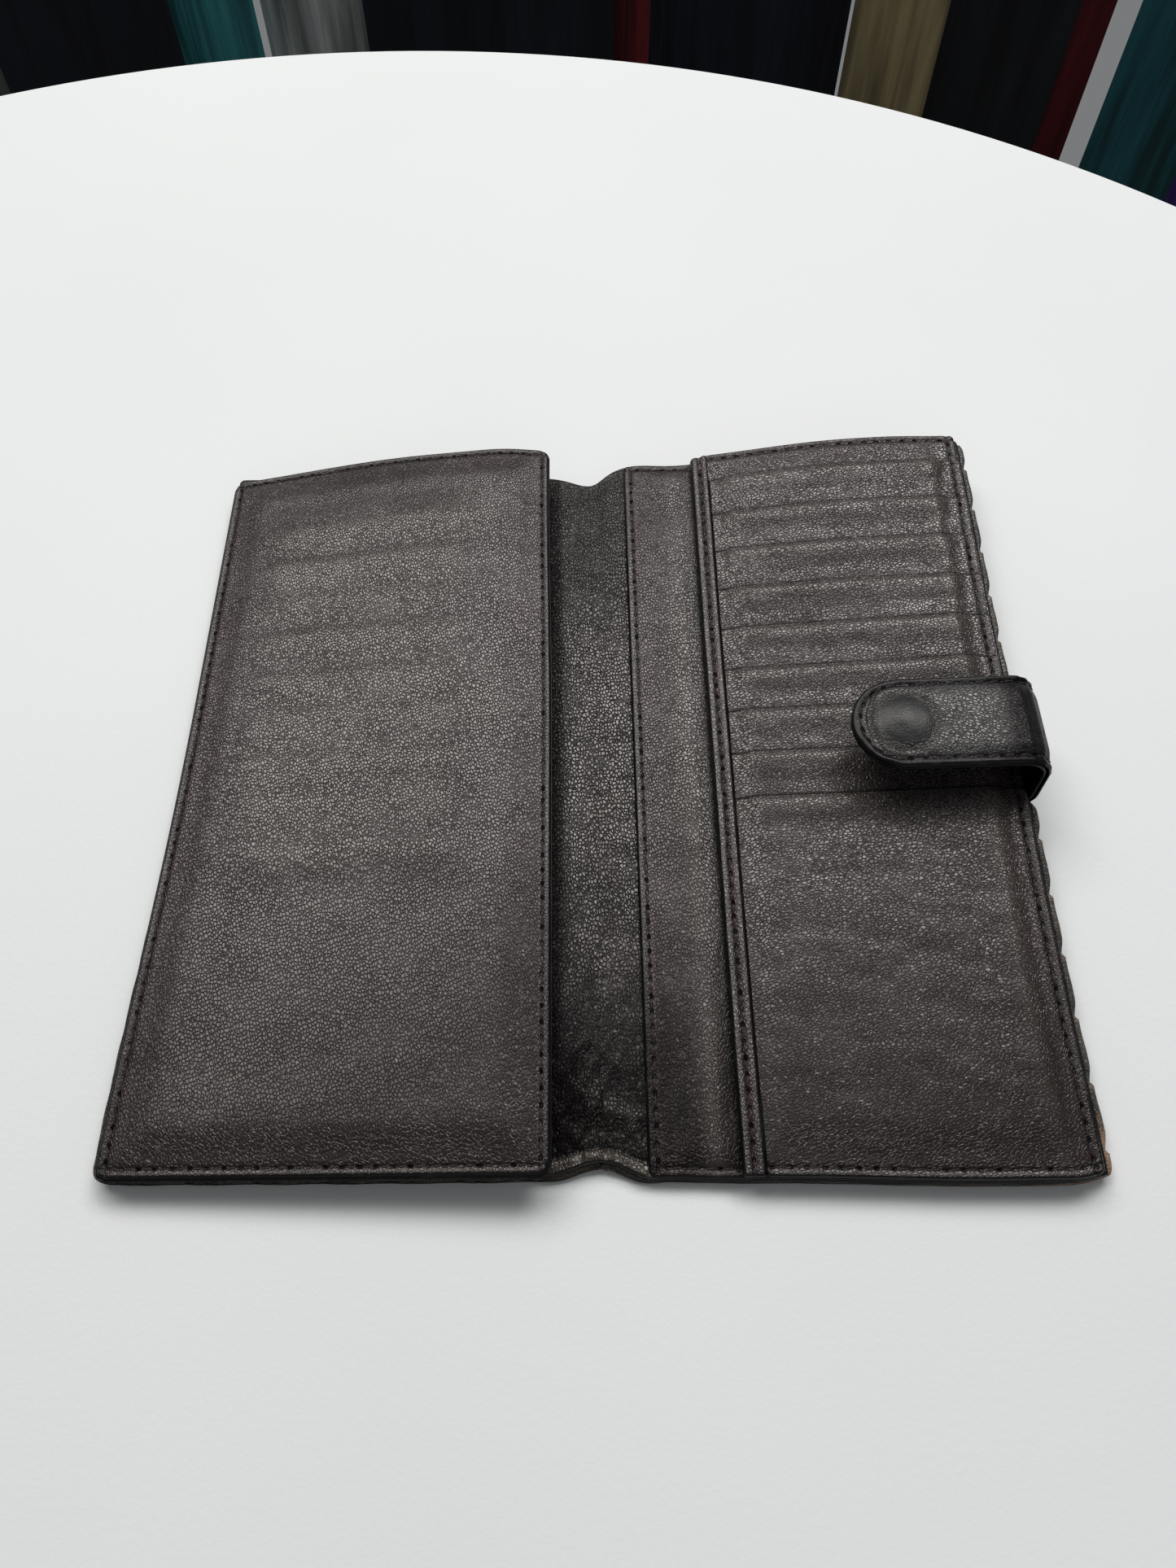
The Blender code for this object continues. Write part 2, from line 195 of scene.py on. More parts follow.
def leaf_curl(x, y):
    across = (x - LEAF_X) / 90.8
    near, far = smooth(20, -95, y), smooth(-20, 95, y)
    return 0.8 * left_curl(LEAF_X, y) * (1 - across) + across * (0.5 * far - 1.2 * near)


def leaf_plan(x, y):
    across = np.clip((x - LEAF_X) / 90.8, 0.0, 1.0)
    near, far = smooth(0, -95, y), smooth(0, 95, y)
    left = 1.7 - 1.8 * smooth(20, -100, y)
    right = -0.1 + 0.1 * near - 1.05 * far
    arc = -2.5 + 4.4 * across + 3.6 * np.sin(math.pi * across**1.25) + 1.0 * hill(across, 0.86, 0.12)
    return x + left * (1 - across) + right * across, y + arc * far + (-0.8 * across - 0.9) * near


def on_right(points):
    x, y, z = points.T
    lifted = z + right_curl(x, y) + spine_lift(x, y)
    x, y = right_plan(x, y)
    level = np.stack([x, y, lifted], 1)
    # The spine itself stays level: the tilt starts at the fold line.
    share = smooth(FOLD_X - 1.5, FOLD_X + 1.5, x)[:, None]
    return (level * (1 - share) + turned(level, FOLD_X, FOLD_Z, RIGHT_TILT) * share) * MM


def on_left(points):
    x, y, z = points.T
    lifted = z + left_curl(x, y) + spine_lift(x, y)
    return np.stack([*left_plan(x, y), lifted], 1) * MM


def on_leaf(points):
    x, y, z = points.T
    lifted = z + leaf_curl(x, y)
    return turned(np.stack([*leaf_plan(x, y), lifted], 1), LEAF_X, LEAF_Z, LEAF_TILT) * MM


# --- sheets


def outline(x, y, free, corner):
    """Rounds the corners of a grid, and says how far each point is from a free edge. free holds L, R, N, F
    for the left, right, near and far edges; the others join another piece."""
    x0, x1, y0, y1 = x.min(), x.max(), y.min(), y.max()
    gaps = {"L": x - x0, "R": x1 - x, "N": y - y0, "F": y1 - y}
    far_away = np.full_like(x, 1e3)
    left, right, near, far = (gaps[side] if side in free else far_away for side in "LRNF")
    inset = np.minimum(np.minimum(left, right), np.minimum(near, far))
    new_x, new_y = x.copy(), y.copy()
    for across, sx, edge_x in ((left, -1, x0), (right, 1, x1)):
        for along, sy, edge_y in ((near, -1, y0), (far, 1, y1)):
            u, v = 1 - across / corner, 1 - along / corner
            inside = (u > 0) & (v > 0)
            shrink = np.where(inside, np.maximum(u, v) / np.maximum(np.hypot(u, v), 1e-9), 1.0)
            new_x = np.where(inside, edge_x - sx * corner * (1 - u * shrink), new_x)
            new_y = np.where(inside, edge_y - sy * corner * (1 - v * shrink), new_y)
    return new_x, new_y, inset


def perimeter(n, m):
    """Grid places round the edge, anticlockwise from the near left corner."""
    loop = [(i, 0) for i in range(n)] + [(n - 1, j) for j in range(1, m)]
    loop += [(i, m - 1) for i in range(n - 2, -1, -1)] + [(0, j) for j in range(m - 2, 0, -1)]
    return np.array(loop)


def on_free_edge(i, j, n, m, free):
    sides = {"L": i == 0, "R": i == n - 1, "N": j == 0, "F": j == m - 1}
    joined = np.zeros(len(i), bool)
    for side in set(sides) - set(free):
        joined |= sides[side]
    return ~joined


def outwards(edge):
    """Unit vectors that point out of a closed anticlockwise line, level with the table."""
    along = np.roll(edge, -1, 0) - np.roll(edge, 1, 0)
    out = np.stack([along[:, 1], -along[:, 0], np.zeros(len(edge))], 1)
    return out / np.maximum(np.linalg.norm(out, axis=1, keepdims=True), 1e-9)


def sheet_faces(n, m, i, j):
    """Faces of the top, of the bottom, and of the bands between them round the edge places i, j."""
    index = np.arange(n * m).reshape(n, m)
    a, b, c, d = index[:-1, :-1], index[1:, :-1], index[1:, 1:], index[:-1, 1:]
    faces = [np.stack([a, b, c, d], -1).reshape(-1, 4), np.stack([d, c, b, a], -1).reshape(-1, 4) + n * m]
    rows = (2 * n * m + len(i) * k + np.arange(len(i)) for k in range(len(EDGE_ROWS)))
    rings = [index[i, j], *rows, index[i, j] + n * m]
    for above, below in zip(rings, rings[1:]):
        faces.append(np.stack([above, below, np.roll(below, -1), np.roll(above, -1)], 1))
    return np.concatenate(faces)


def sheet(
    name, xs, ys, top, bottom, place, material,
    free="LRNF", corner=1.5, rim=0.18, shape=None, marks=None,
):
    """A closed sheet of leather on a grid. top and bottom are heights, or give them from (x, y, inset).
    place puts flat points where they lie, and shape moves points in the plane first. marks gives named
    shading values from (x, y, inset). rim is how far the edge bulges."""
    x, y = np.meshgrid(xs, ys, indexing="ij")
    n, m = x.shape
    x, y, inset = outline(x, y, free, corner)
    high, low = (face(x, y, inset) if callable(face) else face + 0 * x for face in (top, bottom))
    values = {"paint": 1 - smooth(0.3, 0.6, inset), "calm": 0.25 * smooth(3.2, 1.8, inset)}
    values.update(marks(x, y, inset) if marks else {})
    if shape:
        x, y = shape(x, y)
    upper = np.stack([x, y, high], -1)
    lower = np.stack([x, y, low], -1)
    i, j = perimeter(n, m).T
    open_edge = on_free_edge(i, j, n, m, free)
    edge, under = upper[i, j], lower[i, j]
    out = outwards(edge)
    rows = [
        edge * (1 - t) + under * t + out * (rim * open_edge * math.sin(math.pi * t))[:, None]
        for t in EDGE_ROWS
    ]
    flat = np.concatenate([upper.reshape(-1, 3), lower.reshape(-1, 3), *rows])
    around = {key: value[i, j] for key, value in values.items()}
    around["paint"] = 1.0 * open_edge
    attributes = {
        key: np.concatenate([value.ravel(), value.ravel(), *[around[key]] * len(EDGE_ROWS)])
        for key, value in values.items()
    }
    faces = sheet_faces(n, m, i, j)
    made = mesh_object(name, place(flat).tolist(), faces.tolist(), material, flat, attributes)
    # The faces where two halves meet are flat, so that the shading runs on from one half to the other.
    joined = ~open_edge
    level = np.ones(len(made.data.polygons), bool)
    level[2 * (n - 1) * (m - 1) :] = ~np.tile(joined & np.roll(joined, -1), len(EDGE_ROWS) + 1)
    made.data.polygons.foreach_set("use_smooth", level)
    return made


def linked(name, data):
    """A new object in the scene."""
    made = bpy.data.objects.new(name, data)
    bpy.context.scene.collection.objects.link(made)
    return made


def mesh_object(name, points, faces, material, flat=None, attributes=None):
    """A mesh. One with flat coordinates is smooth, and its grain stays in place when it bends."""
    mesh = bpy.data.meshes.new(name)
    mesh.from_pydata(points, [], faces)
    mesh.materials.append(material)
    if flat is not None:
        mesh.polygons.foreach_set("use_smooth", np.ones(len(mesh.polygons), bool))
        rest = mesh.attributes.new("flat", "FLOAT_VECTOR", "POINT")
        rest.data.foreach_set("vector", np.ascontiguousarray(flat, np.float32).ravel())
    for key, value in (attributes or {}).items():
        stored = mesh.attributes.new(key, "FLOAT", "POINT")
        stored.data.foreach_set("value", np.ascontiguousarray(value, np.float32))
    mesh.update()
    return linked(name, mesh)


def rounding(inset, radius):
    """How far a rounded edge drops below the surface."""
    t = np.clip(inset, 0, radius)
    return radius - np.sqrt(np.maximum(radius**2 - (radius - t) ** 2, 0))


def stitch_dent(across, along):
    """The groove of a stitched line. across is the distance from the line."""
    return (0.16 * hill(across, 0.0, 0.8) + 0.14 * hill(across, 0.0, 0.4)) * np.ones_like(along)


def seam_dent(x, y, *columns, ends=1.0):
    """The grooves of the lines along y at some columns, and of the lines across a panel's two ends."""
    dents = [stitch_dent(x - column, y) for column in columns]
    return np.maximum.reduce([*dents, stitch_dent(np.abs(y) - SEAM_END, x) * ends])


def panel_lines(x, y, *columns):
    """(distance, place along) of the same lines, for seam_marks."""
    return [(x - column, y) for column in columns] + [(np.abs(y) - SEAM_END, x)]


def seam_marks(*lines):
    """Where the nearest stitched line is, from (distance, place along) of each. near_seam falls to 0 in
    SEAM_REACH."""
    distances = np.stack([np.abs(distance) + 0 * place for distance, place in lines])
    places = np.stack([place + 0 * distance for distance, place in lines])
    nearest = distances.argmin(0)[None]
    distance = np.take_along_axis(distances, nearest, 0)[0]
    return {
        "near_seam": np.clip(1 - distance / SEAM_REACH, 0, 1),
        "along_seam": np.take_along_axis(places, nearest, 0)[0],
    }


# --- stitches


def stitch_row(start, end):
    """(x, y, direction) of the middle of each stitch on a straight line along x or y."""
    (x0, y0), (x1, y1) = start, end
    upright = abs(y1 - y0) > abs(x1 - x0)
    low, high = sorted((y0, y1) if upright else (x0, x1))
    middles = np.arange(math.ceil(low / STITCH_PITCH), math.floor(high / STITCH_PITCH)) + 0.5
    if upright:
        return [(x0, k * STITCH_PITCH, (0.0, 1.0)) for k in middles]
    return [(k * STITCH_PITCH, y0, (1.0, 0.0)) for k in middles]


def stitches(name, places, height, place, seed):
    """A seam: one short bent thread for each stitch, diving into the leather at both ends."""
    rng = np.random.default_rng(seed)
    rings, sides = 9, 6
    points, faces = [], []
    for x, y, (dx, dy) in places:
        slant = rng.uniform(0.04, 0.14)
        dx, dy = dx - slant * dy, dy + slant * dx
        length = STITCH_PITCH * rng.uniform(0.72, 0.8)
        thick = 0.2 * rng.uniform(0.9, 1.1)
        first = len(points)
        for k in range(rings):
            t = -1 + 2 * k / (rings - 1)
            cx, cy = x + dx * t * length / 2, y + dy * t * length / 2
            rise = 0.08 - 0.5 * abs(t) ** 2.5
            radius = thick * (1 - 0.55 * t**6)
            level = float(height(np.array(cx), np.array(cy)) + rise)
            for side in range(sides):
                turn = 2 * math.pi * side / sides
                across = math.cos(turn) * radius * 1.15
                points.append((cx - dy * across, cy + dx * across, level + math.sin(turn) * radius))
        for k in range(rings - 1):
            for side in range(sides):
                a, b = first + k * sides + side, first + k * sides + (side + 1) % sides
                faces.append((a, b, b + sides, a + sides))
        last = first + (rings - 1) * sides
        faces.append(tuple(first + side for side in reversed(range(sides))))
        faces.append(tuple(last + side for side in range(sides)))
    flat = np.array(points)
    return mesh_object(name, place(flat).tolist(), faces, thread, flat)


# --- materials


class Shader:
    """A material's node tree, with short calls that make nodes and join them. Its coordinates are a
    piece's flat ones, or the object's own, in millimetres."""

    def __init__(self, name, by_object=False):
        self.material = bpy.data.materials.new(name)
        self.material.use_nodes = True
        self.tree = self.material.node_tree
        self.surface = self.tree.nodes["Principled BSDF"]
        if by_object:
            self.flat = self.scaled(self.node("ShaderNodeTexCoord", {}).outputs["Object"], MM)
        else:
            self.flat = self.attribute("flat", "Vector")

    def node(self, kind, inputs, **settings):
        made = self.tree.nodes.new(kind)
        for key, value in settings.items():
            setattr(made, key, value)
        for key, value in inputs.items():
            self.give(made.inputs[key], value)
        return made

    def give(self, socket, value):
        if isinstance(value, bpy.types.NodeSocket):
            self.tree.links.new(value, socket)
        else:
            socket.default_value = value

    def attribute(self, name, output="Fac"):
        return self.node("ShaderNodeAttribute", {}, attribute_name=name).outputs[output]

    def vector_math(self, operation, a, b):
        return self.node("ShaderNodeVectorMath", {0: a, 1: b}, operation=operation).outputs[0]

    def scaled(self, vector, size):
        """Coordinates that count one unit for size millimetres. size may differ by axis."""
        size = size if isinstance(size, tuple) else (size,) * 3
        return self.vector_math("MULTIPLY", vector, tuple(1 / s for s in size))

    def noise(self, size, detail=2.0, rough=0.5, vector=None, output="Fac"):
        place = self.scaled(vector or self.flat, size)
        inputs = {"Vector": place, "Scale": 1.0, "Detail": detail, "Roughness": rough}
        return self.node("ShaderNodeTexNoise", inputs).outputs[output]

    def warped(self, size, amount):
        """The flat coordinates pushed about by noise, by up to half of amount in millimetres."""
        centred = self.vector_math("SUBTRACT", self.noise(size, output="Color"), (0.5, 0.5, 0.5))
        push = self.vector_math("MULTIPLY", centred, (amount,) * 3)
        return self.vector_math("ADD", self.flat, push)

    def cells(self, size, vector):
        """The distance to the edge of the cell that a place is in."""
        inputs = {"Vector": self.scaled(vector, size), "Scale": 1.0, "Randomness": 0.85}
        made = self.node("ShaderNodeTexVoronoi", inputs, feature="DISTANCE_TO_EDGE")
        return made.outputs["Distance"]

    def math(self, operation, a, b=0.0, clamp=False):
        return self.node("ShaderNodeMath", {0: a, 1: b}, operation=operation, use_clamp=clamp).outputs[0]

    def times(self, a, b, clamp=False):
        return self.math("MULTIPLY", a, b, clamp)

    def plus(self, a, b, clamp=False):
        return self.math("ADD", a, b, clamp)

    def most(self, a, b):
        return self.math("MAXIMUM", a, b)

    def rest(self, a):
        return self.math("SUBTRACT", 1.0, a)

    def between(self, value, low, high, out_low=0.0, out_high=1.0):
        """value from low..high to out_low..out_high, softly."""
        inputs = {"Value": value, "From Min": low, "From Max": high, "To Min": out_low, "To Max": out_high}
        return self.node("ShaderNodeMapRange", inputs, interpolation_type="SMOOTHSTEP").outputs["Result"]

    def mix(self, share, a, b):
        """The mix of two colours."""
        a, b = (c if isinstance(c, bpy.types.NodeSocket) else (*c, 1.0) for c in (a, b))
        return self.node("ShaderNodeMix", {0: share, 6: a, 7: b}, data_type="RGBA").outputs[2]

    def mix_value(self, share, a, b):
        return self.node("ShaderNodeMix", {0: share, 2: a, 3: b}, data_type="FLOAT").outputs[0]

    def bump(self, height, distance, normal=None):
        """A bump of distance millimetres, on top of normal. A negative one is a dent."""
        inputs = {"Height": height, "Distance": abs(distance) * MM, "Strength": 1.0}
        if normal:
            inputs["Normal"] = normal
        return self.node("ShaderNodeBump", inputs, invert=distance < 0).outputs["Normal"]

    def finish(self, colour, roughness, normal, **more):
        self.give(self.surface.inputs["Base Color"], colour)
        self.give(self.surface.inputs["Roughness"], roughness)
        if normal:
            self.give(self.surface.inputs["Normal"], normal)
        for key, value in more.items():
            self.surface.inputs[key.replace("_", " ")].default_value = value
        return self.material


PAINT = (0.0035, 0.0042, 0.0045)
PAINT_WORN = (0.020, 0.023, 0.022)
TAN = (0.24, 0.140, 0.082)
SHEEN = (1.0, 0.93, 0.91, 1.0)


def pebbles(s, grain, slant):
    """(height, how close a pebble's edge is) of the slanted grain, both from 0 to 1."""
    turn = {"Vector": s.warped(2.4, 0.8), "Angle": slant}
    pushed = s.node("ShaderNodeVectorRotate", turn, rotation_type="Z_AXIS").outputs[0]
    crack = s.cells((grain * 1.25, grain * 0.85, grain), pushed)
    lines = s.noise((grain * 1.4, grain * 0.7, grain), 2.0, 0.6, pushed)
    height = s.plus(s.times(s.between(crack, 0.0, 0.22), 0.8), s.times(lines, 0.4))
    return height, s.between(crack, 0.15, 0.03)


def stitch_holes(s):
    """Masks of the holes between stitches and of the groove that they lie in, which the leather darkens with
    painted shade.
    """
    away = s.times(s.rest(s.attribute("near_seam")), SEAM_REACH)
    turns = s.math("DIVIDE", s.attribute("along_seam"), STITCH_PITCH)
    turns = s.plus(turns, s.times(s.noise(2.4, 1.0), 0.34))
    turns = s.math("FRACT", s.plus(turns, 0.33))
    step = s.times(s.math("ABSOLUTE", s.math("SUBTRACT", turns, 0.5)), STITCH_PITCH / HOLE_LENGTH)
    across = s.math("DIVIDE", away, HOLE_WIDTH)
    hole = s.math("SQRT", s.plus(s.times(step, step), s.times(across, across)))
    hole = s.times(s.between(hole, 1.3, 0.5), s.between(s.noise(3.1, 1.0), 0.3, 0.6, 0.55, 1.0))
    return hole, s.between(away, 1.7, 0.2, 0.0, 0.6)


def leather(
    name, deep, base, worn, red,
    grain=0.76, depth=0.105, roughness=0.30, blotch=26.0, slant=0.45, gloss=0.86,
):
    """Fine pebbled leather: small slanted grain, lighter raised areas that are partly rubbing and partly
    painted highlight, painted shade in the grain's creases and stitch holes, redder seams and painted cut
    edges.
    grain, depth and blotch are in millimetres, slant in radians."""
    s = Shader(name)
    height, pebble_edge = pebbles(s, grain, slant)
    wide = s.noise(blotch, 3.0, 0.55)
    patches = s.noise((blotch * 0.5, blotch * 0.35, blotch), 3.0, 0.6)
    # The grain is stronger in some places than others.
    lively = s.rest(s.attribute("calm"))
    strong = s.times(s.between(patches, 0.34, 0.66, 0.85, 1.05), lively)
    # Lighter tone: random rubbing plus the marks given to each piece, which are partly rubbing and partly
    # painted highlight.
    wear = s.plus(s.between(wide, 0.40, 0.70, 0.0, 0.30), s.attribute("wear"))
    wear = s.times(wear, s.between(patches, 0.30, 0.62, 0.8, 1.0), clamp=True)
    colour = s.mix(wear, base, worn)
    colour = s.mix(s.times(s.attribute("seam"), s.between(wide, 0.3, 0.6, 0.4, 1.0)), colour, red)
    # Painted shade: the grain's creases and the pebbles' edges are darkened towards the shade colour.
    low = s.times(s.between(height, 0.80, 0.35), strong, clamp=True)
    grain_crease_shade = s.plus(s.times(low, 0.2), s.times(s.times(pebble_edge, lively), 0.5), clamp=True)
    colour = s.mix(grain_crease_shade, colour, deep)
    # Painted shade: the shade marks, the stitch holes and the groove they lie in darken the colour.
    hole, groove = stitch_holes(s)
    shade = s.most(s.attribute("shade"), s.most(hole, groove))
    colour = s.mix(shade, colour, deep)
    tan = s.attribute("tan")
    colour = s.mix(tan, colour, TAN)
    # Cut edges are painted, and the paint is rubbed in places.
    paint = s.attribute("paint")
    rubbed = s.times(paint, s.between(s.noise((5.0, 5.0, 1.2), 3.0, 0.6), 0.5, 0.72))
    colour = s.mix(paint, colour, PAINT)
    colour = s.mix(s.times(rubbed, 0.5), colour, PAINT_WORN)
    colour = s.mix(s.times(tan, paint), colour, TAN)
    rough = s.mix_value(low, roughness, roughness + 0.14)
    rough = s.mix_value(s.between(wide, 0.4, 0.7, 0.0, 0.5), rough, roughness - 0.03)
    rough = s.mix_value(paint, rough, 0.30)
    # Creases and grooves hold little of the shine. The socket's own value is also set to the gloss, which
    # stands where the link is dropped. The export drops the link and keeps the socket's gloss.
    shine = s.mix_value(s.most(s.times(low, 0.62), shade), gloss, 0.03)
    shine = s.mix_value(paint, shine, 0.14)
    s.surface.inputs["Specular IOR Level"].default_value = gloss
    s.give(s.surface.inputs["Specular IOR Level"], shine)
    quiet = s.times(strong, s.rest(s.times(paint, 0.9)))
    normal = s.bump(s.times(height, quiet), depth)
    normal = s.bump(s.noise(1.9, 2.0, 0.5), 0.03, normal)
    normal = s.bump(s.noise(7.0, 2.0, 0.5), 0.14, normal)
    normal = s.bump(hole, -0.25, normal)
    return s.finish(colour, rough, normal, Specular_Tint=SHEEN)


def woven_leather():
    """The outside's strips: each strip a little different, with painted shade where one dives under another,
    rubbed where they crown.
    """
    s = Shader("woven_leather_look")
    crease = s.between(s.cells(0.9, s.warped(2.2, 1.0)), 0.0, 0.2)
    lines = s.noise((0.5, 2.6, 1.0), 3.0, 0.6)
    deepness = s.attribute("depth")
    colour = s.mix(s.attribute("tone"), (0.016, 0.012, 0.009), (0.034, 0.026, 0.017))
    rubbed = s.times(s.between(deepness, 0.45, 0.05), s.between(s.noise(14.0, 3.0), 0.42, 0.66))
    colour = s.mix(s.times(rubbed, 0.6), colour, (0.085, 0.070, 0.046))
    # Painted shade: darker where a strip dives under the next one, and in the grain's creases.
    colour = s.mix(s.between(deepness, 0.45, 0.9, 0.0, 0.9), colour, (0.004, 0.003, 0.003))
    colour = s.mix(s.between(crease, 0.5, 0.0, 0.0, 0.5), colour, (0.006, 0.005, 0.004))
    colour = s.mix(s.attribute("tan"), colour, TAN)
    rough = s.mix_value(rubbed, 0.36, 0.5)
    height = s.plus(crease, s.times(lines, 0.8))
    return s.finish(colour, rough, s.bump(height, 0.11), Specular_IOR_Level=0.5)


def thread_material():
    s = Shader("thread_look")
    inputs = {"Vector": s.flat, "Scale": 1.1, "Distortion": 0.6, "Detail": 1.0}
    twist = s.node("ShaderNodeTexWave", inputs, bands_direction="DIAGONAL").outputs["Fac"]
    # The thread is darker in the grooves of its twist, a painted shade, and its tone varies along it.
    colour = s.mix(s.times(twist, s.noise(6.0, 2.0)), (0.010, 0.0045, 0.0045), (0.036, 0.015, 0.014))
    return s.finish(colour, 0.55, s.bump(twist, 0.06), Specular_IOR_Level=0.35)


def board_material():
    s = Shader("board_look")
    fibre = s.noise((0.5, 3.0, 0.5), 4.0, 0.6)
    colour = s.mix(fibre, (0.030, 0.026, 0.023), (0.075, 0.066, 0.056))
    return s.finish(colour, 0.85, s.bump(fibre, 0.05))


def steel_material():
    s = Shader("steel_look", by_object=True)
    brushed = s.noise((0.25, 6.0, 0.25), 3.0, 0.6)
    spots = s.noise(2.2, 3.0, 0.6)
    colour = s.mix(brushed, (0.46, 0.46, 0.45), (0.62, 0.62, 0.60))
    colour = s.mix(s.between(spots, 0.6, 0.75, 0.0, 0.5), colour, (0.20, 0.18, 0.15))
    rough = s.mix_value(brushed, 0.28, 0.42)
    return s.finish(colour, rough, s.bump(brushed, 0.02), Metallic=1.0)


BROWN = dict(
    deep=(0.0020, 0.0012, 0.0012),
    base=(0.0160, 0.0098, 0.0094),
    worn=(0.0460, 0.0375, 0.0310),
    red=(0.0215, 0.0068, 0.0074),
)
panel_leather = leather("panel_leather_look", **BROWN, slant=1.3)
leaf_leather = leather("leaf_leather_look", **BROWN, blotch=30.0, slant=1.2)
slot_leather = leather("slot_leather_look", **BROWN, blotch=20.0, slant=-0.35)
spine_leather = leather(
    "spine_leather_look",
    deep=(0.0018, 0.0013, 0.0013),
    base=(0.0055, 0.0038, 0.0038),
    worn=(0.0400, 0.0320, 0.0230),
    red=(0.0100, 0.0045, 0.0045),
    grain=0.85,
    depth=0.16,
    roughness=0.27,
    slant=1.5,
    gloss=0.72,
)
strap_leather = leather(
    "strap_leather_look",
    deep=(0.0020, 0.0017, 0.0018),
    base=(0.0070, 0.0060, 0.0062),
    worn=(0.0560, 0.0650, 0.0630),
    red=(0.0140, 0.0080, 0.0080),
    grain=0.74,
    depth=0.070,
    roughness=0.30,
    blotch=12.0,
    gloss=0.62,
)
woven = woven_leather()
thread = thread_material()
board = board_material()
steel = steel_material()


# --- woven covers


def weave(x, y):
    """(height from 0 to 1, tone of the strip) of two crossing sets of strips at 45 degrees to the edges."""
    u, v = (way / math.sqrt(2) / WEAVE + 1e-5 for way in (x + y, x - y))
    i, j = np.floor(u), np.floor(v)
    fu, fv = 2 * (u - i) - 1, 2 * (v - j) - 1
    over = (i + j) % 2 == 0
    along, across = np.where(over, fu, fv), np.where(over, fv, fu)
    height = 1 - 0.14 * along**2 - 0.10 * across**4 - 0.52 * smooth(0.55, 1.0, np.abs(along))
    strip = np.where(over, j * 2.0, i * 2.0 + 1)
    return height, 0.5 + 0.5 * np.sin(strip * 12.9898 + 4.1)


def strip_turn(y):
    """How far y is through a strip's crossing of the long edge, from 0 to 1."""
    return (-y / WEAVE_STEP + 0.35) % 1.0


def scallop(y):
    """How far the woven edge stands out: a ledge where each strip starts, then a bulge that rolls in."""
    t = strip_turn(y)
    return 0.30 - 0.14 * np.sin(math.pi * np.clip(t / 0.5, 0, 1)) - 0.75 * smooth(0.70, 1.0, t)


def cover(name, side, place, free):
    """One half's woven cover, from the middle of the spine to its edge. Its woven face is underneath."""
    xs = np.linspace(*sorted((0.0, side * COVER_EDGE)), int(round(COVER_EDGE / GRID)) + 1)
    ys = np.linspace(-COVER_END, COVER_END, int(round(2 * COVER_END / GRID)) + 1)

    def woven_edge(x, y):
        out = smooth(COVER_EDGE - 3.0, COVER_EDGE, side * x)
        x = x + (out * scallop(y) if side > 0 else 0.1 * out * np.sin(y / 2.1))
        end = smooth(COVER_END - 2.0, COVER_END, np.abs(y))
        wave = 0.12 * np.sin(2 * math.pi * x / WEAVE_STEP)
        return x, hollowed(x, y + np.sign(y) * end * wave, COVER_END)

    def top(x, y, inset):
        crown = 0.35 * np.sin(math.pi * strip_turn(y)) * (side > 0)
        roll = (0.9 + crown if side > 0 else 0.1) * smooth(LINING_EDGE - 0.4, LINING_EDGE + 0.5, side * x)
        return COVER_TOP + roll - rounding(inset, 0.7) + 0.15 * noise(x, y, 6.0, 3) * smooth(0.5, 2.0, inset)

    def bottom(x, y, inset):
        return 0.75 * (1 - weave(x, y)[0]) + rounding(inset, 0.8) * 0.9

    def marks(x, y, inset):
        height, tone = weave(x, y)
        wear = np.zeros_like(x)
        if side > 0:
            corner = np.hypot(side * x - COVER_EDGE, y + COVER_END)
            wear = smooth(15.0, 7.0, corner + 4.0 * noise(x, y, 2.2, 8)) * smooth(1.8, 0.5, inset)
            # A pale tan line on each strip's ledge is a painted highlight; the tan at the near right corner
            # is rubbing.
            ledge = smooth(COVER_EDGE - 1.6, COVER_EDGE - 0.2, side * x) * hill(strip_turn(y), 0.06, 0.05)
            wear = np.maximum(wear, 0.4 * ledge)
        return {"depth": 1 - height, "tone": tone, "tan": wear}

    return sheet(name, xs, ys, top, bottom, place, woven, free, 4.5, 0.25, woven_edge, marks)


# --- linings


def lining_relief(x, y):
    """Soft waves down the spine, and creases that gather at its near end."""
    spine = hill(x, 0.0, 10.0)
    soft = 0.28 * noise(x, y, (5.0, 22.0), 11) + 0.12 * noise(x, y, 4.0, 12)
    gathered = smooth(-58, -90, y) * hill(x, -0.5, 8.5)
    folds = creases(x + 0.35 * y, y - 0.4 * x, (3.6, 9.0), 13) + 0.7 * creases(x - 0.5 * y, y, (4.4, 8.0), 14)
    fine = creases(x, y + 0.6 * x, (1.6, 3.4), 15)
    pleats = hill(y, -LINING_END, 5.0) * hill(x, 0.0, 8.0) * np.sin(x * 3.6 + 1.4 * noise(x, y, 2.5, 16))
    return soft * spine + gathered * (1.0 * folds - 0.75 + 0.35 * fine) + 0.26 * pleats


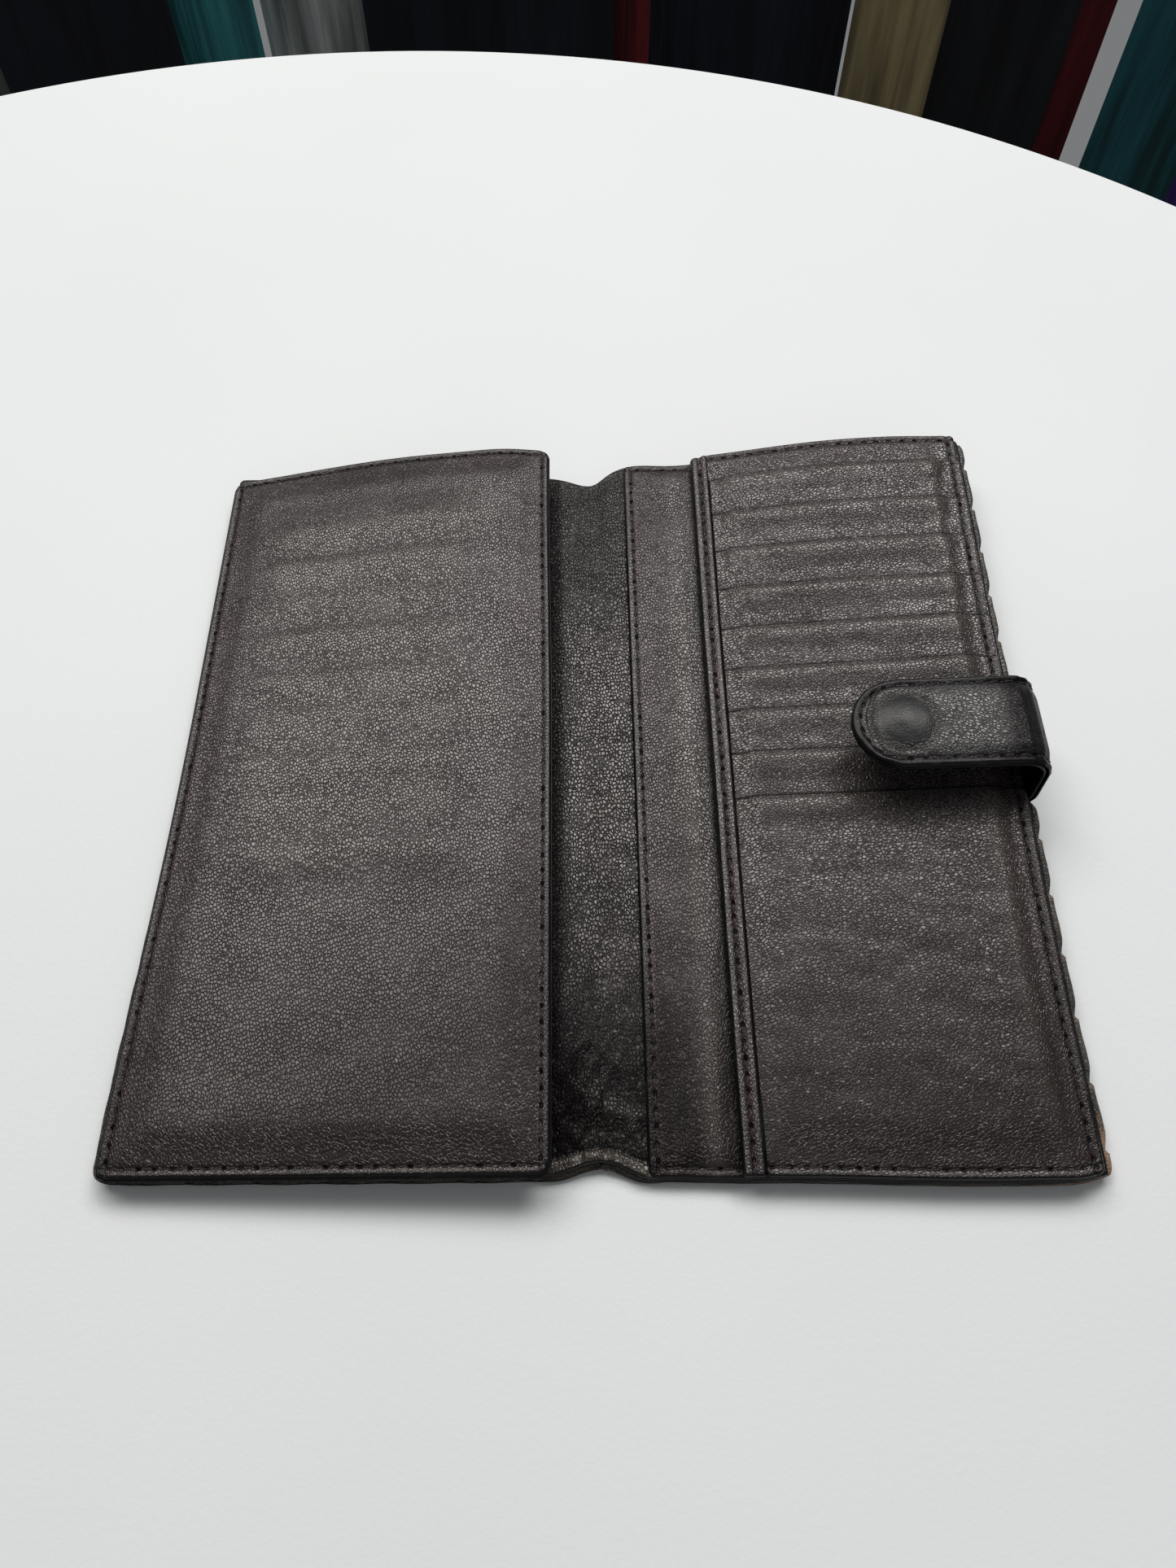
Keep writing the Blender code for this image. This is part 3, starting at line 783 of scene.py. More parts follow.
def lining(name, side, place, free):
    close = (0, 0.1, 0.3, 0.6)
    # The left lining runs a little way under the right one.
    inner, ends, fine = (0.4, (EDGE_LINES, close), (-14.0, 0.0, 0.55))
    if side > 0:
        inner, ends, fine = (0.0, (close, EDGE_LINES), (0.0, 14.0, 0.55))
    xs = grid_lines(*sorted((inner, side * LINING_EDGE)), 3.0, *ends, extra=[fine])
    ys = grid_lines(-LINING_END, LINING_END, 0.9)

    def shape(x, y):
        return x, hollowed(x, y, LINING_END)

    def band(x, y):
        """The gathered strip along the spine's near end."""
        return smooth(3.4, 2.6, y + LINING_END) * smooth(13.0, 10.0, np.abs(x))

    def top(x, y, inset):
        groove = 0.30 * hill(y + LINING_END, 3.1, 0.5) * smooth(13.0, 10.0, np.abs(x))
        under = 0.04 * smooth(0.0, 0.05, x) * (side < 0)
        return LINING_TOP + lining_relief(x, y) + 0.30 * band(x, y) - groove - under - rounding(inset, 0.45)

    def bottom(x, y, inset):
        return np.minimum(2.05 + 0.5 * lining_relief(x, y), top(x, y, inset) - 0.25)

    def marks(x, y, inset):
        # Painted shade: darker towards the spine's near and far ends, and a painted shadow beside the leaf's
        # edge. The gathered band at the near end is rubbed lighter.
        near = smooth(-35.0, -80.0, y) * (0.74 + 0.2 * hill(x, -6.0, 4.5)) + 0.6 * smooth(15.0, 75.0, y)
        beside_leaf = 0.85 * smooth(-4.5, -9.0, x) * (1 - 0.75 * smooth(-13.0, -22.0, x))
        return {"wear": 0.9 * band(x, y), "shade": np.maximum(beside_leaf, near) * (1 - band(x, y))}

    return sheet(name, xs, ys, top, bottom, place, spine_leather, free, 1.5, 0.1, shape, marks)


# --- right half


def bill_top(x, y):
    bulge = smooth(13.0, 21.5, x) * smooth(28.6, 23.5, x) * (0.75 + 0.25 * noise(x, y, (30, 38), 21))
    lift = 0.7 * hill(x, BILL_START, 9.0) * smooth(95, 55, np.abs(y))
    far_dip = 0.55 * hill(y, 79.0, 6.0) * hill(x, 19.0, 6.0)
    wrinkle = 0.22 * noise(x, y, (3.0, 7.0), 22) * smooth(-62, -90, y) * smooth(12, 16, x)
    border = smooth(0.0, 6.0, PANEL_END - np.abs(y))
    dent = seam_dent(x, y, BILL_SEAM, ends=x > BILL_START + 1.5) * (x < CARD_START + 1)
    return BILL_TOP + (1.15 * bulge - far_dip) * border + lift + wrinkle - dent


def bill_panel():
    xs = grid_lines(BILL_START, PANEL_EDGE, 5.0, extra=[(BILL_START + 5, 31.0, 0.7)])
    ys = grid_lines(-PANEL_END, PANEL_END, 0.8)

    def top(x, y, inset):
        return bill_top(x, y) - rounding(inset, 0.5)

    def bottom(x, y, inset):
        return np.minimum(bill_top(x, y) - 0.75, 2.95 + 0.6 * (bill_top(x, y) - BILL_TOP))

    def marks(x, y, inset):
        # Painted highlight along the ridge and on the edge bead; painted shade over the panel, more at its
        # near and far ends, and a painted shadow beside the card border's edge.
        ridge = hill(x, 23.0, 2.4)
        dim = 0.26 + 0.50 * smooth(-30, -75, y) + 0.2 * smooth(45, 85, y)
        return {
            "seam": 0.8 * hill(x, 13.8, 2.2) + 0.6 * hill(np.abs(y), 89.0, 3.0),
            "wear": 0.75 * ridge * smooth(75, 30, y) + 0.35 * hill(inset, 1.0, 0.5),
            "shade": np.maximum(0.8 * hill(x, 28.6, 2.2), dim * (1 - 0.7 * ridge)),
            **seam_marks(*panel_lines(x, y, BILL_SEAM)),
        }

    return sheet("bill_pocket_leather", xs, ys, top, bottom, on_right, panel_leather, marks=marks)


def card_swell(x, y):
    """The card pockets stand up from their stitched borders."""
    sides = smooth(SLOTS_START + 0.5, SLOTS_START + 6.0, x) * smooth(PANEL_EDGE - 3.6, PANEL_EDGE - 10.0, x)
    ends = smooth(-PANEL_END + 3.6, -PANEL_END + 12.0, y) * smooth(PANEL_END - 1.5, PANEL_END - 10.0, y)
    full = 0.85 + 0.25 * noise(x, y, (34, 30), 31)
    shoulder = 0.5 * hill(x, PANEL_EDGE - 8.2 + 0.8 * noise(x * 0, y, 17.0, 32), 2.3)
    return (full * sides + shoulder) * ends


def right_border_dent(x, y):
    return seam_dent(x, y, CARD_SEAM, ends=x < PANEL_EDGE - 1.5)


def slot_level(number, x, y):
    """Height of the top of a card slot's ply."""
    below = FIRST_MOUTH - SLOT_PITCH * number - y
    if number == SLOT_COUNT - 1:
        level = CARD_TOP - 0.10 * smooth(0, 12, below)
    else:
        level = CARD_TOP - 0.0495 * np.clip(below, 0, None)
    inner = smooth(SLOTS_START, SLOTS_START + 7.0, x) * smooth(PANEL_EDGE - 2.6, PANEL_EDGE - 8.0, x)
    lip = smooth(-0.2, 1.9, below) * smooth(8.5, 2.6, below)
    pillow = 0.50 * lip * inner * (1 + 0.25 * noise(x, y * 0 + 13.7 * number, 17.0, 40 + number))
    ripple = 0.10 * noise(x + 0.5 * y, y, (7.0, 2.6), 60 + number) * inner * smooth(1.5, 4.5, below)
    corner = 0.35 * hill(below, 0.0, 2.2) * (1 - smooth(SLOTS_START + 0.5, SLOTS_START + 4.5, x))
    return level + pillow + ripple - corner + card_swell(x, y) - right_border_dent(x, y)


def card_slot(number):
    mouth = FIRST_MOUTH - SLOT_PITCH * number
    front = number == SLOT_COUNT - 1
    end, near, corner, rim = mouth - PLY_TAIL, PLAIN_LINES, 0.4, 0.03
    if front:
        end, near, corner, rim = -PANEL_END, EDGE_LINES, 1.3, 0.2
    xs = grid_lines(BORDER_END + 0.08, PANEL_EDGE, 0.9, PLAIN_LINES)
    ys = grid_lines(end, mouth, 0.9 if front else 0.75, near, (0, 0.1, 0.22, 0.4, 0.7, 1.1, 1.6))

    def top(x, y, inset):
        return slot_level(number, x, y) - rounding(np.minimum(inset, mouth - y + 0.02), 0.3)

    def bottom(x, y, inset):
        tail = 0.9 * (y < -PANEL_END + 9) * front * smooth(9, 0, y + PANEL_END)
        return slot_level(number, x, y) - 0.42 - tail

    def marks(x, y, inset):
        below = mouth - y
        past = SLOT_PITCH - below  # how far the next slot's mouth is
        # Painted highlight in a band under each mouth, with a rubbed line at the lip, and along the inside of
        # the right seam. Painted shade at the next slot's mouth, in the crease by the border strip and
        # towards the near end.
        lit = 0.45 * smooth(0.3, 1.2, below) * smooth(6.0, 2.0, below) + 0.9 * hill(below, 0.3, 0.25)
        shoulder = 0.85 * hill(x, PANEL_EDGE - 7.5, 2.4)
        gap = (0.9 * hill(past, 0.0, 0.45) + 0.3 * hill(past, 0.0, 1.5)) * (not front)
        gap = np.maximum(gap, 0.8 * hill(x, BORDER_END, 0.25))
        return {
            "wear": lit + shoulder,
            "seam": 0.75 * hill(x, PANEL_EDGE - 4.8, 1.5) + 0.6 * hill(y, -PANEL_END + 4.6, 1.8),
            "shade": np.maximum(gap, 0.42 * smooth(-40, -85, y)),
            "paint": (1 - smooth(0.3, 0.6, inset)) * front * (y < -80) + (1 - smooth(0.04, 0.14, inset)),
            "calm": 0.25 * smooth(3.2, 1.8, np.minimum(PANEL_EDGE - x, PANEL_END + y)),
            **seam_marks(*panel_lines(x, y, CARD_SEAM)),
        }

    name = f"card_slot_{number + 1}"
    made = sheet(
        f"{name}_leather", xs, ys, top, bottom, on_right, slot_leather, corner=corner, rim=rim, marks=marks
    )
    stands_for(made, "right_half", "smooth_leather", name)


def card_back():
    xs = grid_lines(CARD_START, PANEL_EDGE, 1.2)
    ys = grid_lines(-PANEL_END, PANEL_END, 2.0, extra=[(82.0, PANEL_END - 4.5, 0.6)])

    def top(x, y, inset):
        past = FIRST_MOUTH - y
        level = BACK_TOP - 0.28 * smooth(92.0, 86.0, y) - 0.049 * np.clip(past, 0, 18.7)
        shown = smooth(-0.5, 0.5, -past)
        raised = shown * (card_swell(x, y) - right_border_dent(x, y) + 0.12)
        return level - rounding(inset, 0.5) + raised - (1 - shown) * 0.25

    def marks(x, y, inset):
        # The patch near the right edge is rubbing; the edge bead gets a painted highlight, and the first
        # slot's mouth a painted shade.
        card = smooth(0.4, -0.2, np.maximum(np.abs(x - 64.0) - 24.5, y - 91.0))
        worn = smooth(85.0, 90.0, x) * (1 - card) * smooth(96.0, 93.0, x)
        return {
            "seam": 0.5 * hill(np.abs(y), 89.5, 2.5),
            "wear": 0.7 * worn + 0.2 * hill(inset, 1.0, 0.6),
            "shade": 0.9 * hill(y, FIRST_MOUTH, 0.45),
            **seam_marks(*panel_lines(x, y, CARD_SEAM)),
        }

    return sheet("card_back_leather", xs, ys, top, 3.85, on_right, slot_leather, marks=marks)


def border_top(x, y):
    crown = 0.22 * hill(x, 29.5, 0.7) + 0.16 * hill(x, 31.7, 0.6)
    return BORDER_TOP + crown - stitch_dent(x - BORDER_SEAM, y) + 0.10 * noise(x, y, (4.0, 9.0), 71)


def border_strip():
    xs = grid_lines(CARD_START, BORDER_END, 0.3, (0, 0.12, 0.28, 0.5, 0.8), (0, 0.1, 0.22, 0.4, 0.6))
    ys = grid_lines(-PANEL_END, PANEL_END, 0.7)

    def top(x, y, inset):
        crease = rounding(np.clip(BORDER_END - x, 0, None), 0.35)
        return border_top(x, y) - np.maximum(rounding(inset, 0.45), crease)

    def marks(x, y, inset):
        # Painted highlight on the ridge by the left edge, and painted shade in the crease at the right edge.
        return {
            "seam": 0.7 * hill(x, 31.0, 1.2) + 0 * y,
            "wear": 0.75 * hill(x, 29.2, 0.8) * (0.6 + 0.4 * noise(x, y, (3, 12), 72)),
            "shade": 0.9 * smooth(BORDER_END - 0.25, BORDER_END, x),
            **seam_marks((x - BORDER_SEAM, y)),
        }

    return sheet("card_border_leather", xs, ys, top, 4.5, on_right, panel_leather, corner=0.8, marks=marks)


def board_sheet(name, side, place):
    inner, outer = side * (FOLD_X + 4.0), side * (COVER_EDGE - 3.0)
    xs = grid_lines(*sorted((inner, outer)), 3.0, PLAIN_LINES, PLAIN_LINES)
    ys = grid_lines(-93.0, 93.0, 3.0, PLAIN_LINES, PLAIN_LINES)
    return sheet(name, xs, ys, 1.9, 1.6, place, board, rim=0.02)


# --- leaf


def leaf_ridges(x, y):
    """The slots under the leaf print through its face as low bands."""
    inside = smooth(-95.0, -80.0, x) * smooth(-24.0, -38.0, x)
    rise = 0.0
    for number in range(SLOT_COUNT):
        mouth = 74.0 - SLOT_PITCH * number + 1.2 * noise(x, y * 0 + number * 7.7, 28.0, 80 + number)
        strength = 0.26 + 0.08 * math.sin(number * 2.3)
        rise = rise + strength * smooth(-1.8, 2.2, mouth - y) * smooth(11.5, 3.0, mouth - y)
    base = 0.45 * smooth(82.0, 74.0, y) * smooth(-40.0, -20.0, y)
    return (rise + base) * inside


def leaf_dent(x, y):
    return seam_dent(x, y, *LEAF_SEAMS)


def leaf_top(x, y):
    near_edge = np.minimum(np.minimum(x - LEAF_X, LEAF_END - x), PANEL_END - np.abs(y))
    pillow = 0.95 * smooth(2.6, 11.0, near_edge) * (0.8 + 0.25 * noise(x, y, (32, 40), 90))
    scar = 0.25 * hill(np.hypot(x + 47.0, (y + 6.0) * 1.4), 0.0, 1.4)
    return LEAF_TOP + pillow + leaf_ridges(x, y) - leaf_dent(x, y) - scar


def leaf_face():
    def top(x, y, inset):
        return leaf_top(x, y) - rounding(inset, 0.6)

    def marks(x, y, inset):
        # Raised slot bands are rubbed lighter; the middle is lighter from rubbing and a painted sheen, and
        # the edge bead has a painted highlight. Painted shade between the bands, towards the near end and
        # near the edges.
        ridges = leaf_ridges(x, y)
        worn = 0.35 * smooth(0.25, 0.75, ridges) + 0.15 * smooth(12, 30, inset)
        hollows = 0.2 * smooth(0.45, 0.0, ridges) * smooth(20, 60, y) * hill(x, -60, 26)
        return {
            "wear": worn + 0.3 * hill(inset, 1.2, 0.5),
            "seam": smooth(2.0, 3.0, inset) * smooth(14.0, 4.0, inset) * (0.7 + 0.3 * noise(x, y, 13, 91)),
            "shade": hollows + 0.28 * smooth(0, -70, y) + 0.22 * smooth(16.0, 3.0, inset),
            "paint": 1 - smooth(0.35, 0.6, inset),
            **seam_marks(*panel_lines(x, y, *LEAF_SEAMS)),
        }

    return leaf_sheet("leaf_face_leather", 0.85, top, 4.15, leaf_leather, 0.3, marks)


def leaf_sheet(name, step, top, bottom, material, rim, marks):
    xs = grid_lines(LEAF_START, LEAF_END, step)
    ys = grid_lines(-PANEL_END, PANEL_END, step)
    return sheet(name, xs, ys, top, bottom, on_leaf, material, corner=2.8, rim=rim, marks=marks)


def leaf_back():
    def top(x, y, inset):
        return 4.05 - rounding(inset, 0.2)

    def bottom(x, y, inset):
        return LEAF_UNDER + 0.02 + rounding(inset, 0.3) + leaf_dent(x, y) * 0.6

    def marks(x, y, inset):
        return {"wear": 0.2 + 0 * x}

    return leaf_sheet("leaf_back_leather", 2.0, top, bottom, spine_leather, 0.35, marks)


def leaf_slot(number):
    """A ply under the leaf: the same shingled pocket, facing down."""
    mouth = FIRST_MOUTH - SLOT_PITCH * number
    end = -93.5 if number == SLOT_COUNT - 1 else mouth - PLY_TAIL
    xs = grid_lines(*LEAF_SLOTS, 1.6, PLAIN_LINES, PLAIN_LINES)
    ys = grid_lines(end, mouth, 1.2, PLAIN_LINES, (0, 0.1, 0.25, 0.5, 1.0))

    def middle(y):
        """Half way through the ply, which is 0.3 thick."""
        return LEAF_UNDER - (0.2 + 0.15 + 0.04125 * np.clip(PLY_TAIL - (mouth - y), 0, None))

    def lip(x, y):
        inner = smooth(0, 6, x - LEAF_SLOTS[0]) * smooth(0, 6, LEAF_SLOTS[1] - x)
        return 0.18 * smooth(0, 1.6, mouth - y) * smooth(7.0, 2.5, mouth - y) * inner

    def top(x, y, inset):
        return middle(y) + 0.15 - 0.5 * lip(x, y)

    def bottom(x, y, inset):
        return middle(y) - 0.15 - lip(x, y) + rounding(inset, 0.2)

    def marks(x, y, inset):
        # Painted highlight in a band under the mouth.
        lit = 0.4 * smooth(0.0, 1.2, mouth - y) * smooth(6.0, 2.0, mouth - y)
        return {"wear": lit, "paint": 1 - smooth(0.05, 0.3, inset)}

    name = f"leaf_slot_{number + 1}"
    made = sheet(
        f"{name}_leather", xs, ys, top, bottom, on_leaf, slot_leather, corner=0.9, rim=0.05, marks=marks
    )
    stands_for(made, "leaf", "smooth_leather", name)


def leaf_hinge():
    """The folded strip of leather inside the leaf's sewn edge."""
    reach, bend = 3.6, 0.2
    arc = math.pi * bend
    xs = np.unique(np.concatenate([np.linspace(0, reach, 7), reach + np.linspace(0, arc, 13)]))
    xs = np.unique(np.round(np.concatenate([xs, reach + arc + np.linspace(0, reach, 7)]), 4))
    ys = np.linspace(-62.0, 93.5, 120)

    def place(points):
        s, y, out = points.T
        turn = np.clip((s - reach) / arc, 0, 1) * math.pi
        x = LEAF_X + 0.5 + reach - np.clip(s, None, reach) + np.clip(s - reach - arc, 0, None)
        x = x - (bend + out) * np.sin(turn)
        z = HINGE_LOW + bend - (bend + out) * np.cos(turn)
        share = smooth(0, math.pi, turn)[:, None]
        below, above = (np.stack([*plan(x, y), z], 1) for plan in (left_plan, leaf_plan))
        return (below * (1 - share) + turned(above, LEAF_X, LEAF_Z, LEAF_TILT) * share) * MM

    return sheet("leaf_hinge_leather", xs, ys, 0.07, -0.07, place, spine_leather, rim=0.0)


# --- strap

STRAP_START, STRAP_TIP, STRAP_SIDE, STRAP_TOP = 63.0, 61.3, 104.6, 17.9
STRAP_ROOT = -1.5
LOWER_BEND, UPPER_BEND = 4.0, 6.0
ROOT_RUN = STRAP_SIDE - LOWER_BEND - STRAP_START
LOWER_ARC = LOWER_BEND * math.pi / 2
SIDE_RUN = (STRAP_TOP - UPPER_BEND) - (STRAP_ROOT + LOWER_BEND)
UPPER_ARC = UPPER_BEND * math.pi / 2
STRAP_MIDDLE = ROOT_RUN + LOWER_ARC + SIDE_RUN / 2
STRAP_LENGTH = ROOT_RUN + LOWER_ARC + SIDE_RUN + UPPER_ARC + STRAP_SIDE - UPPER_BEND - STRAP_TIP
MAGNET_AT = STRAP_LENGTH - STRAP_HALF


def strap_line(s):
    """(x, z, outward x, outward z) along the strap's middle, s millimetres from its sewn end."""
    s = np.asarray(s, float)
    stretches = [ROOT_RUN, LOWER_ARC, SIDE_RUN, UPPER_ARC]
    starts = np.cumsum([0.0] + stretches)
    t1 = np.clip((s - starts[1]) / LOWER_BEND, 0, math.pi / 2)
    t2 = np.clip((s - starts[3]) / UPPER_BEND, 0, math.pi / 2)
    x = STRAP_START + np.clip(s, None, ROOT_RUN) + LOWER_BEND * np.sin(t1)
    z = STRAP_ROOT + LOWER_BEND * (1 - np.cos(t1)) + np.clip(s - starts[2], 0, SIDE_RUN)
    x = x - UPPER_BEND * (1 - np.cos(t2)) - np.clip(s - starts[4], 0, None)
    z = z + UPPER_BEND * np.sin(t2)
    turn = t1 + t2 - math.pi / 2
    return x, z, np.cos(turn), np.sin(turn)


def on_strap(points):
    """Points as (along the strap, across it, outwards from its middle)."""
    s, across, out = points.T
    x, z, nx, nz = strap_line(s)
    crown = 0.9 * smooth(MAGNET_AT + 14, MAGNET_AT - 6, s) * smooth(STRAP_MIDDLE + 4, STRAP_MIDDLE + 14, s)
    sag = crown * (1 - (across / STRAP_HALF) ** 2) * 0.35
    flat = np.stack([x - 1.1 + nx * (out + sag), -across, z + nz * (out + sag)], 1)
    return turned(flat, FOLD_X, FOLD_Z, RIGHT_TILT) * MM


def magnet_distance(s, across):
    return np.hypot(s - MAGNET_AT, across)


def along_strap(s, across):
    """Position along the strap's seam, which turns round the tip."""
    turn = np.arctan2(s - MAGNET_AT, np.maximum(np.abs(across), 1e-6))
    return np.where(s < MAGNET_AT, s, MAGNET_AT + (STRAP_HALF - SEAM_INSET) * turn)


def strap_face(s, across):
    """Height of the outer face above the strap's middle."""
    r = magnet_distance(s, across)
    dome = np.cos(np.clip(r / 7.0, 0, 1) * math.pi / 2) ** 1.1 - 0.22 * hill(r, 7.4, 1.3)
    dome = dome + 0.05 * noise(s, across, 2.6, 103) * smooth(7.5, 5.0, r)
    edge = np.minimum(STRAP_HALF - np.abs(across), 1e3 * (s < MAGNET_AT) + STRAP_HALF - r)
    pillow = 0.30 * smooth(2.4, 5.0, edge)
    dent = stitch_dent(edge - SEAM_INSET, s) * (s > STRAP_MIDDLE - 30)
    bow = s - MAGNET_AT - 1.5 - 6.6 * np.cos(np.clip(across / 9.0, -1.4, 1.4))
    crease = 0.45 * hill(bow, 0.0, 0.5) * smooth(9.5, 6.0, np.abs(across))
    ring = smooth(6.5, 9.0, r) * smooth(20, 9, r)
    wrinkles = 0.20 * creases(s + 0.3 * across, across, (2.4, 4.0), 101) * ring
    bends = 0.10 * np.sin(s * 2.6 + 0.5 * noise(s, across, 4.0, 102)) * hill(s, STRAP_MIDDLE + 9, 6.0)
    return 1.07 + dome + pillow - dent - crease + wrinkles + bends


def strap_ply(name, start, end, outer, free, material):
    tip = end > STRAP_LENGTH - 1
    radius, last = (STRAP_HALF - 0.01, EDGE_LINES) if tip else (0.6, PLAIN_LINES)
    xs = grid_lines(start, end, 0.55, PLAIN_LINES, last)
    ys = grid_lines(-STRAP_HALF, STRAP_HALF, 0.55)

    def top(s, across, inset):
        if not outer:
            return -0.15 - 0.5 * smooth(6.6, 5.4, magnet_distance(s, across)) - rounding(inset, 0.25)
        return strap_face(s, across) - rounding(inset, 0.5)

    def bottom(s, across, inset):
        r = magnet_distance(s, across)
        if outer:
            return 0.15 + 0.6 * smooth(6.4, 5.6, r) + rounding(inset, 0.25)
        fray = 0.12 * creases(s, across, (1.1, 3.0), 111) * smooth(2.0, 0.0, inset)
        return -1.15 - 0.5 * smooth(6.6, 5.4, r) + rounding(inset, 0.3) - fray

    def marks(s, across, inset):
        r = magnet_distance(s, across)
        # Painted shade in a ring round the magnet's dome, on the dome, along the rim and on the part towards
        # the bend. The dome is rubbed lighter, and a band past it has a painted sheen.
        shade = 0.6 * hill(r, 7.4, 1.2) + 0.62 * smooth(7.0, 5.0, r) + 0.75 * smooth(2.5, 1.7, inset)
        shade = shade + 0.8 * smooth(MAGNET_AT - 19, MAGNET_AT - 25, s)
        return {
            "wear": 0.8 * smooth(7.0, 4.5, r) + 0.35 * hill(s, MAGNET_AT - 13, 6.0),
            "shade": np.clip(shade, 0, 0.92),
            "paint": 1 - smooth(0.4, 0.7, inset),
            "calm": np.maximum(0.6 * smooth(3.2, 1.8, inset), 0.7 * smooth(7.2, 5.5, r)),
            **seam_marks((inset - SEAM_INSET, along_strap(s, across))),
        }

    return sheet(name, xs, ys, top, bottom, on_strap, material, free, radius, 0.16, None, marks)


def strap_stitch_places():
    """The strap's seam: along both edges, and round the tip."""
    reach = STRAP_HALF - SEAM_INSET
    first = math.ceil((STRAP_MIDDLE + 1) / STITCH_PITCH)
    last = math.floor(MAGNET_AT / STITCH_PITCH)
    straight = [(k + 0.5) * STITCH_PITCH for k in range(first, last)]
    places = [(s, side * reach, (1.0, 0.0)) for side in (-1, 1) for s in straight]
    count = int(round(math.pi * reach / STITCH_PITCH))
    for k in range(count):
        turn = -math.pi / 2 + math.pi * (k + 0.5) / count
        direction = (-math.sin(turn), math.cos(turn))
        places.append((MAGNET_AT + reach * math.cos(turn), reach * math.sin(turn), direction))
    return places


# --- building


def stands_for(piece, body, slot, *nodes):
    """piece stands for some CAD nodes. It rides on a body; given two bodies and a line between them instead,
    it keeps the place that it has.
    """
    if isinstance(body, str):
        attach(piece, body)
    else:
        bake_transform(piece)
    if nodes:
        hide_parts(*nodes)


def build_halves():
    """Covers and linings bend across the fold line beside the spine. The right ones hold the spine itself."""
    sides = (("right", 1, on_right, "RNF"), ("left", -1, on_left, "LNF"))
    kinds = (("cover", cover, "woven", "woven_leather"), ("lining", lining, "leather", "lining_leather"))
    for kind, make, look, slot in kinds:
        for half, side, place, free in sides:
            made = make(f"{half}_{kind}_{look}", side, place, free)
            ends = ((side * (FOLD_X + past) * MM, 0, FOLD_Z * MM) for past in (3.0, -3.0))
            nodes = (f"{half}_{kind}", f"spine_{kind}")[: 2 if side > 0 else 1]
            stands_for(made, (f"{half}_half", "spine", *ends), slot, *nodes)
    for half, side, place, _ in sides:
        stands_for(board_sheet(f"{half}_board_sheet", side, place), f"{half}_half", "board", f"{half}_board")


def build_right_half():
    stands_for(bill_panel(), "right_half", "smooth_leather", "bill_pocket_panel")
    stands_for(card_back(), "right_half", "smooth_leather", "card_panel_back")
    stands_for(border_strip(), "right_half", "smooth_leather", "card_border_strip")
    for number in range(SLOT_COUNT):
        card_slot(number)

    def card_top(x, y):
        number = int(np.clip((FIRST_MOUTH - float(y)) // SLOT_PITCH, -1, SLOT_COUNT - 1))
        if number < 0:
            return BACK_TOP - 0.16 + card_swell(x, y) - right_border_dent(x, y)
        return slot_level(number, x, y)

    columns = (BILL_SEAM, BORDER_SEAM, CARD_SEAM)
    bill, border, card = (stitch_row((x, -SEAM_END), (x, SEAM_END)) for x in columns)
    for end in (-SEAM_END, SEAM_END):
        bill += stitch_row((BILL_SEAM + 0.5, end), (CARD_START, end))
        card += stitch_row((SLOTS_START, end), (CARD_SEAM, end))
    rows = (
        ("bill_pocket_stitches", bill, bill_top, "bill_pocket_seam"),
        ("border_stitches", border, border_top, "border_strip_seam"),
        ("card_panel_stitches", card, card_top, "card_panel_seam"),
    )
    for seed, (name, places, height, node) in enumerate(rows, 1):
        stands_for(stitches(name, places, height, on_right, seed), "right_half", "thread", node)


def build_leaf():
    stands_for(leaf_face(), "leaf", "smooth_leather", "leaf_face")
    stands_for(leaf_back(), "leaf", "lining_leather", "leaf_back")
    line = ((LEAF_X * MM, 0, z * MM) for z in (3.05, 3.25))
    stands_for(leaf_hinge(), ("left_half", "leaf", *line), "lining_leather")
    for number in range(SLOT_COUNT):
        leaf_slot(number)
    left, right = LEAF_SEAMS
    lines = [((x, -SEAM_END), (x, SEAM_END)) for x in LEAF_SEAMS]
    lines += [((left, y), (right, y)) for y in (-SEAM_END, SEAM_END)]
    places = [stitch for line in lines for stitch in stitch_row(*line)]
    stands_for(stitches("leaf_stitches", places, leaf_top, on_leaf, 4), "leaf", "thread", "leaf_seam")


def build_strap():
    def at(s):
        return tuple(on_strap(np.array([[s, 0.0, 0.0]]))[0])

    top_start = ROOT_RUN + LOWER_ARC + SIDE_RUN
    lower = ("right_half", "strap_bend", at(ROOT_RUN), at(ROOT_RUN + LOWER_ARC))
    upper = ("strap_bend", "strap_tab", at(top_start), at(top_start + UPPER_ARC))
    plies = (("outer", strap_leather, "strap_leather"), ("lining", spine_leather, "lining_leather"))
    for ply, material, slot in plies:
        outer = ply == "outer"
        low = strap_ply(f"strap_{ply}_lower", 0.0, STRAP_MIDDLE, outer, "LNF", material)
        stands_for(low, lower, slot, f"strap_{ply}_root", f"strap_{ply}_bend")
        high = strap_ply(f"strap_{ply}_upper", STRAP_MIDDLE, STRAP_LENGTH, outer, "RNF", material)
        stands_for(high, upper, slot, f"strap_{ply}_tab")
    row = stitches("strap_stitches", strap_stitch_places(), strap_face, on_strap, 5)
    stands_for(row, upper, "thread", "strap_seam")


# --- stage, light and camera


def staged(name, points, faces, material):
    mesh_object(name, points, faces, material)


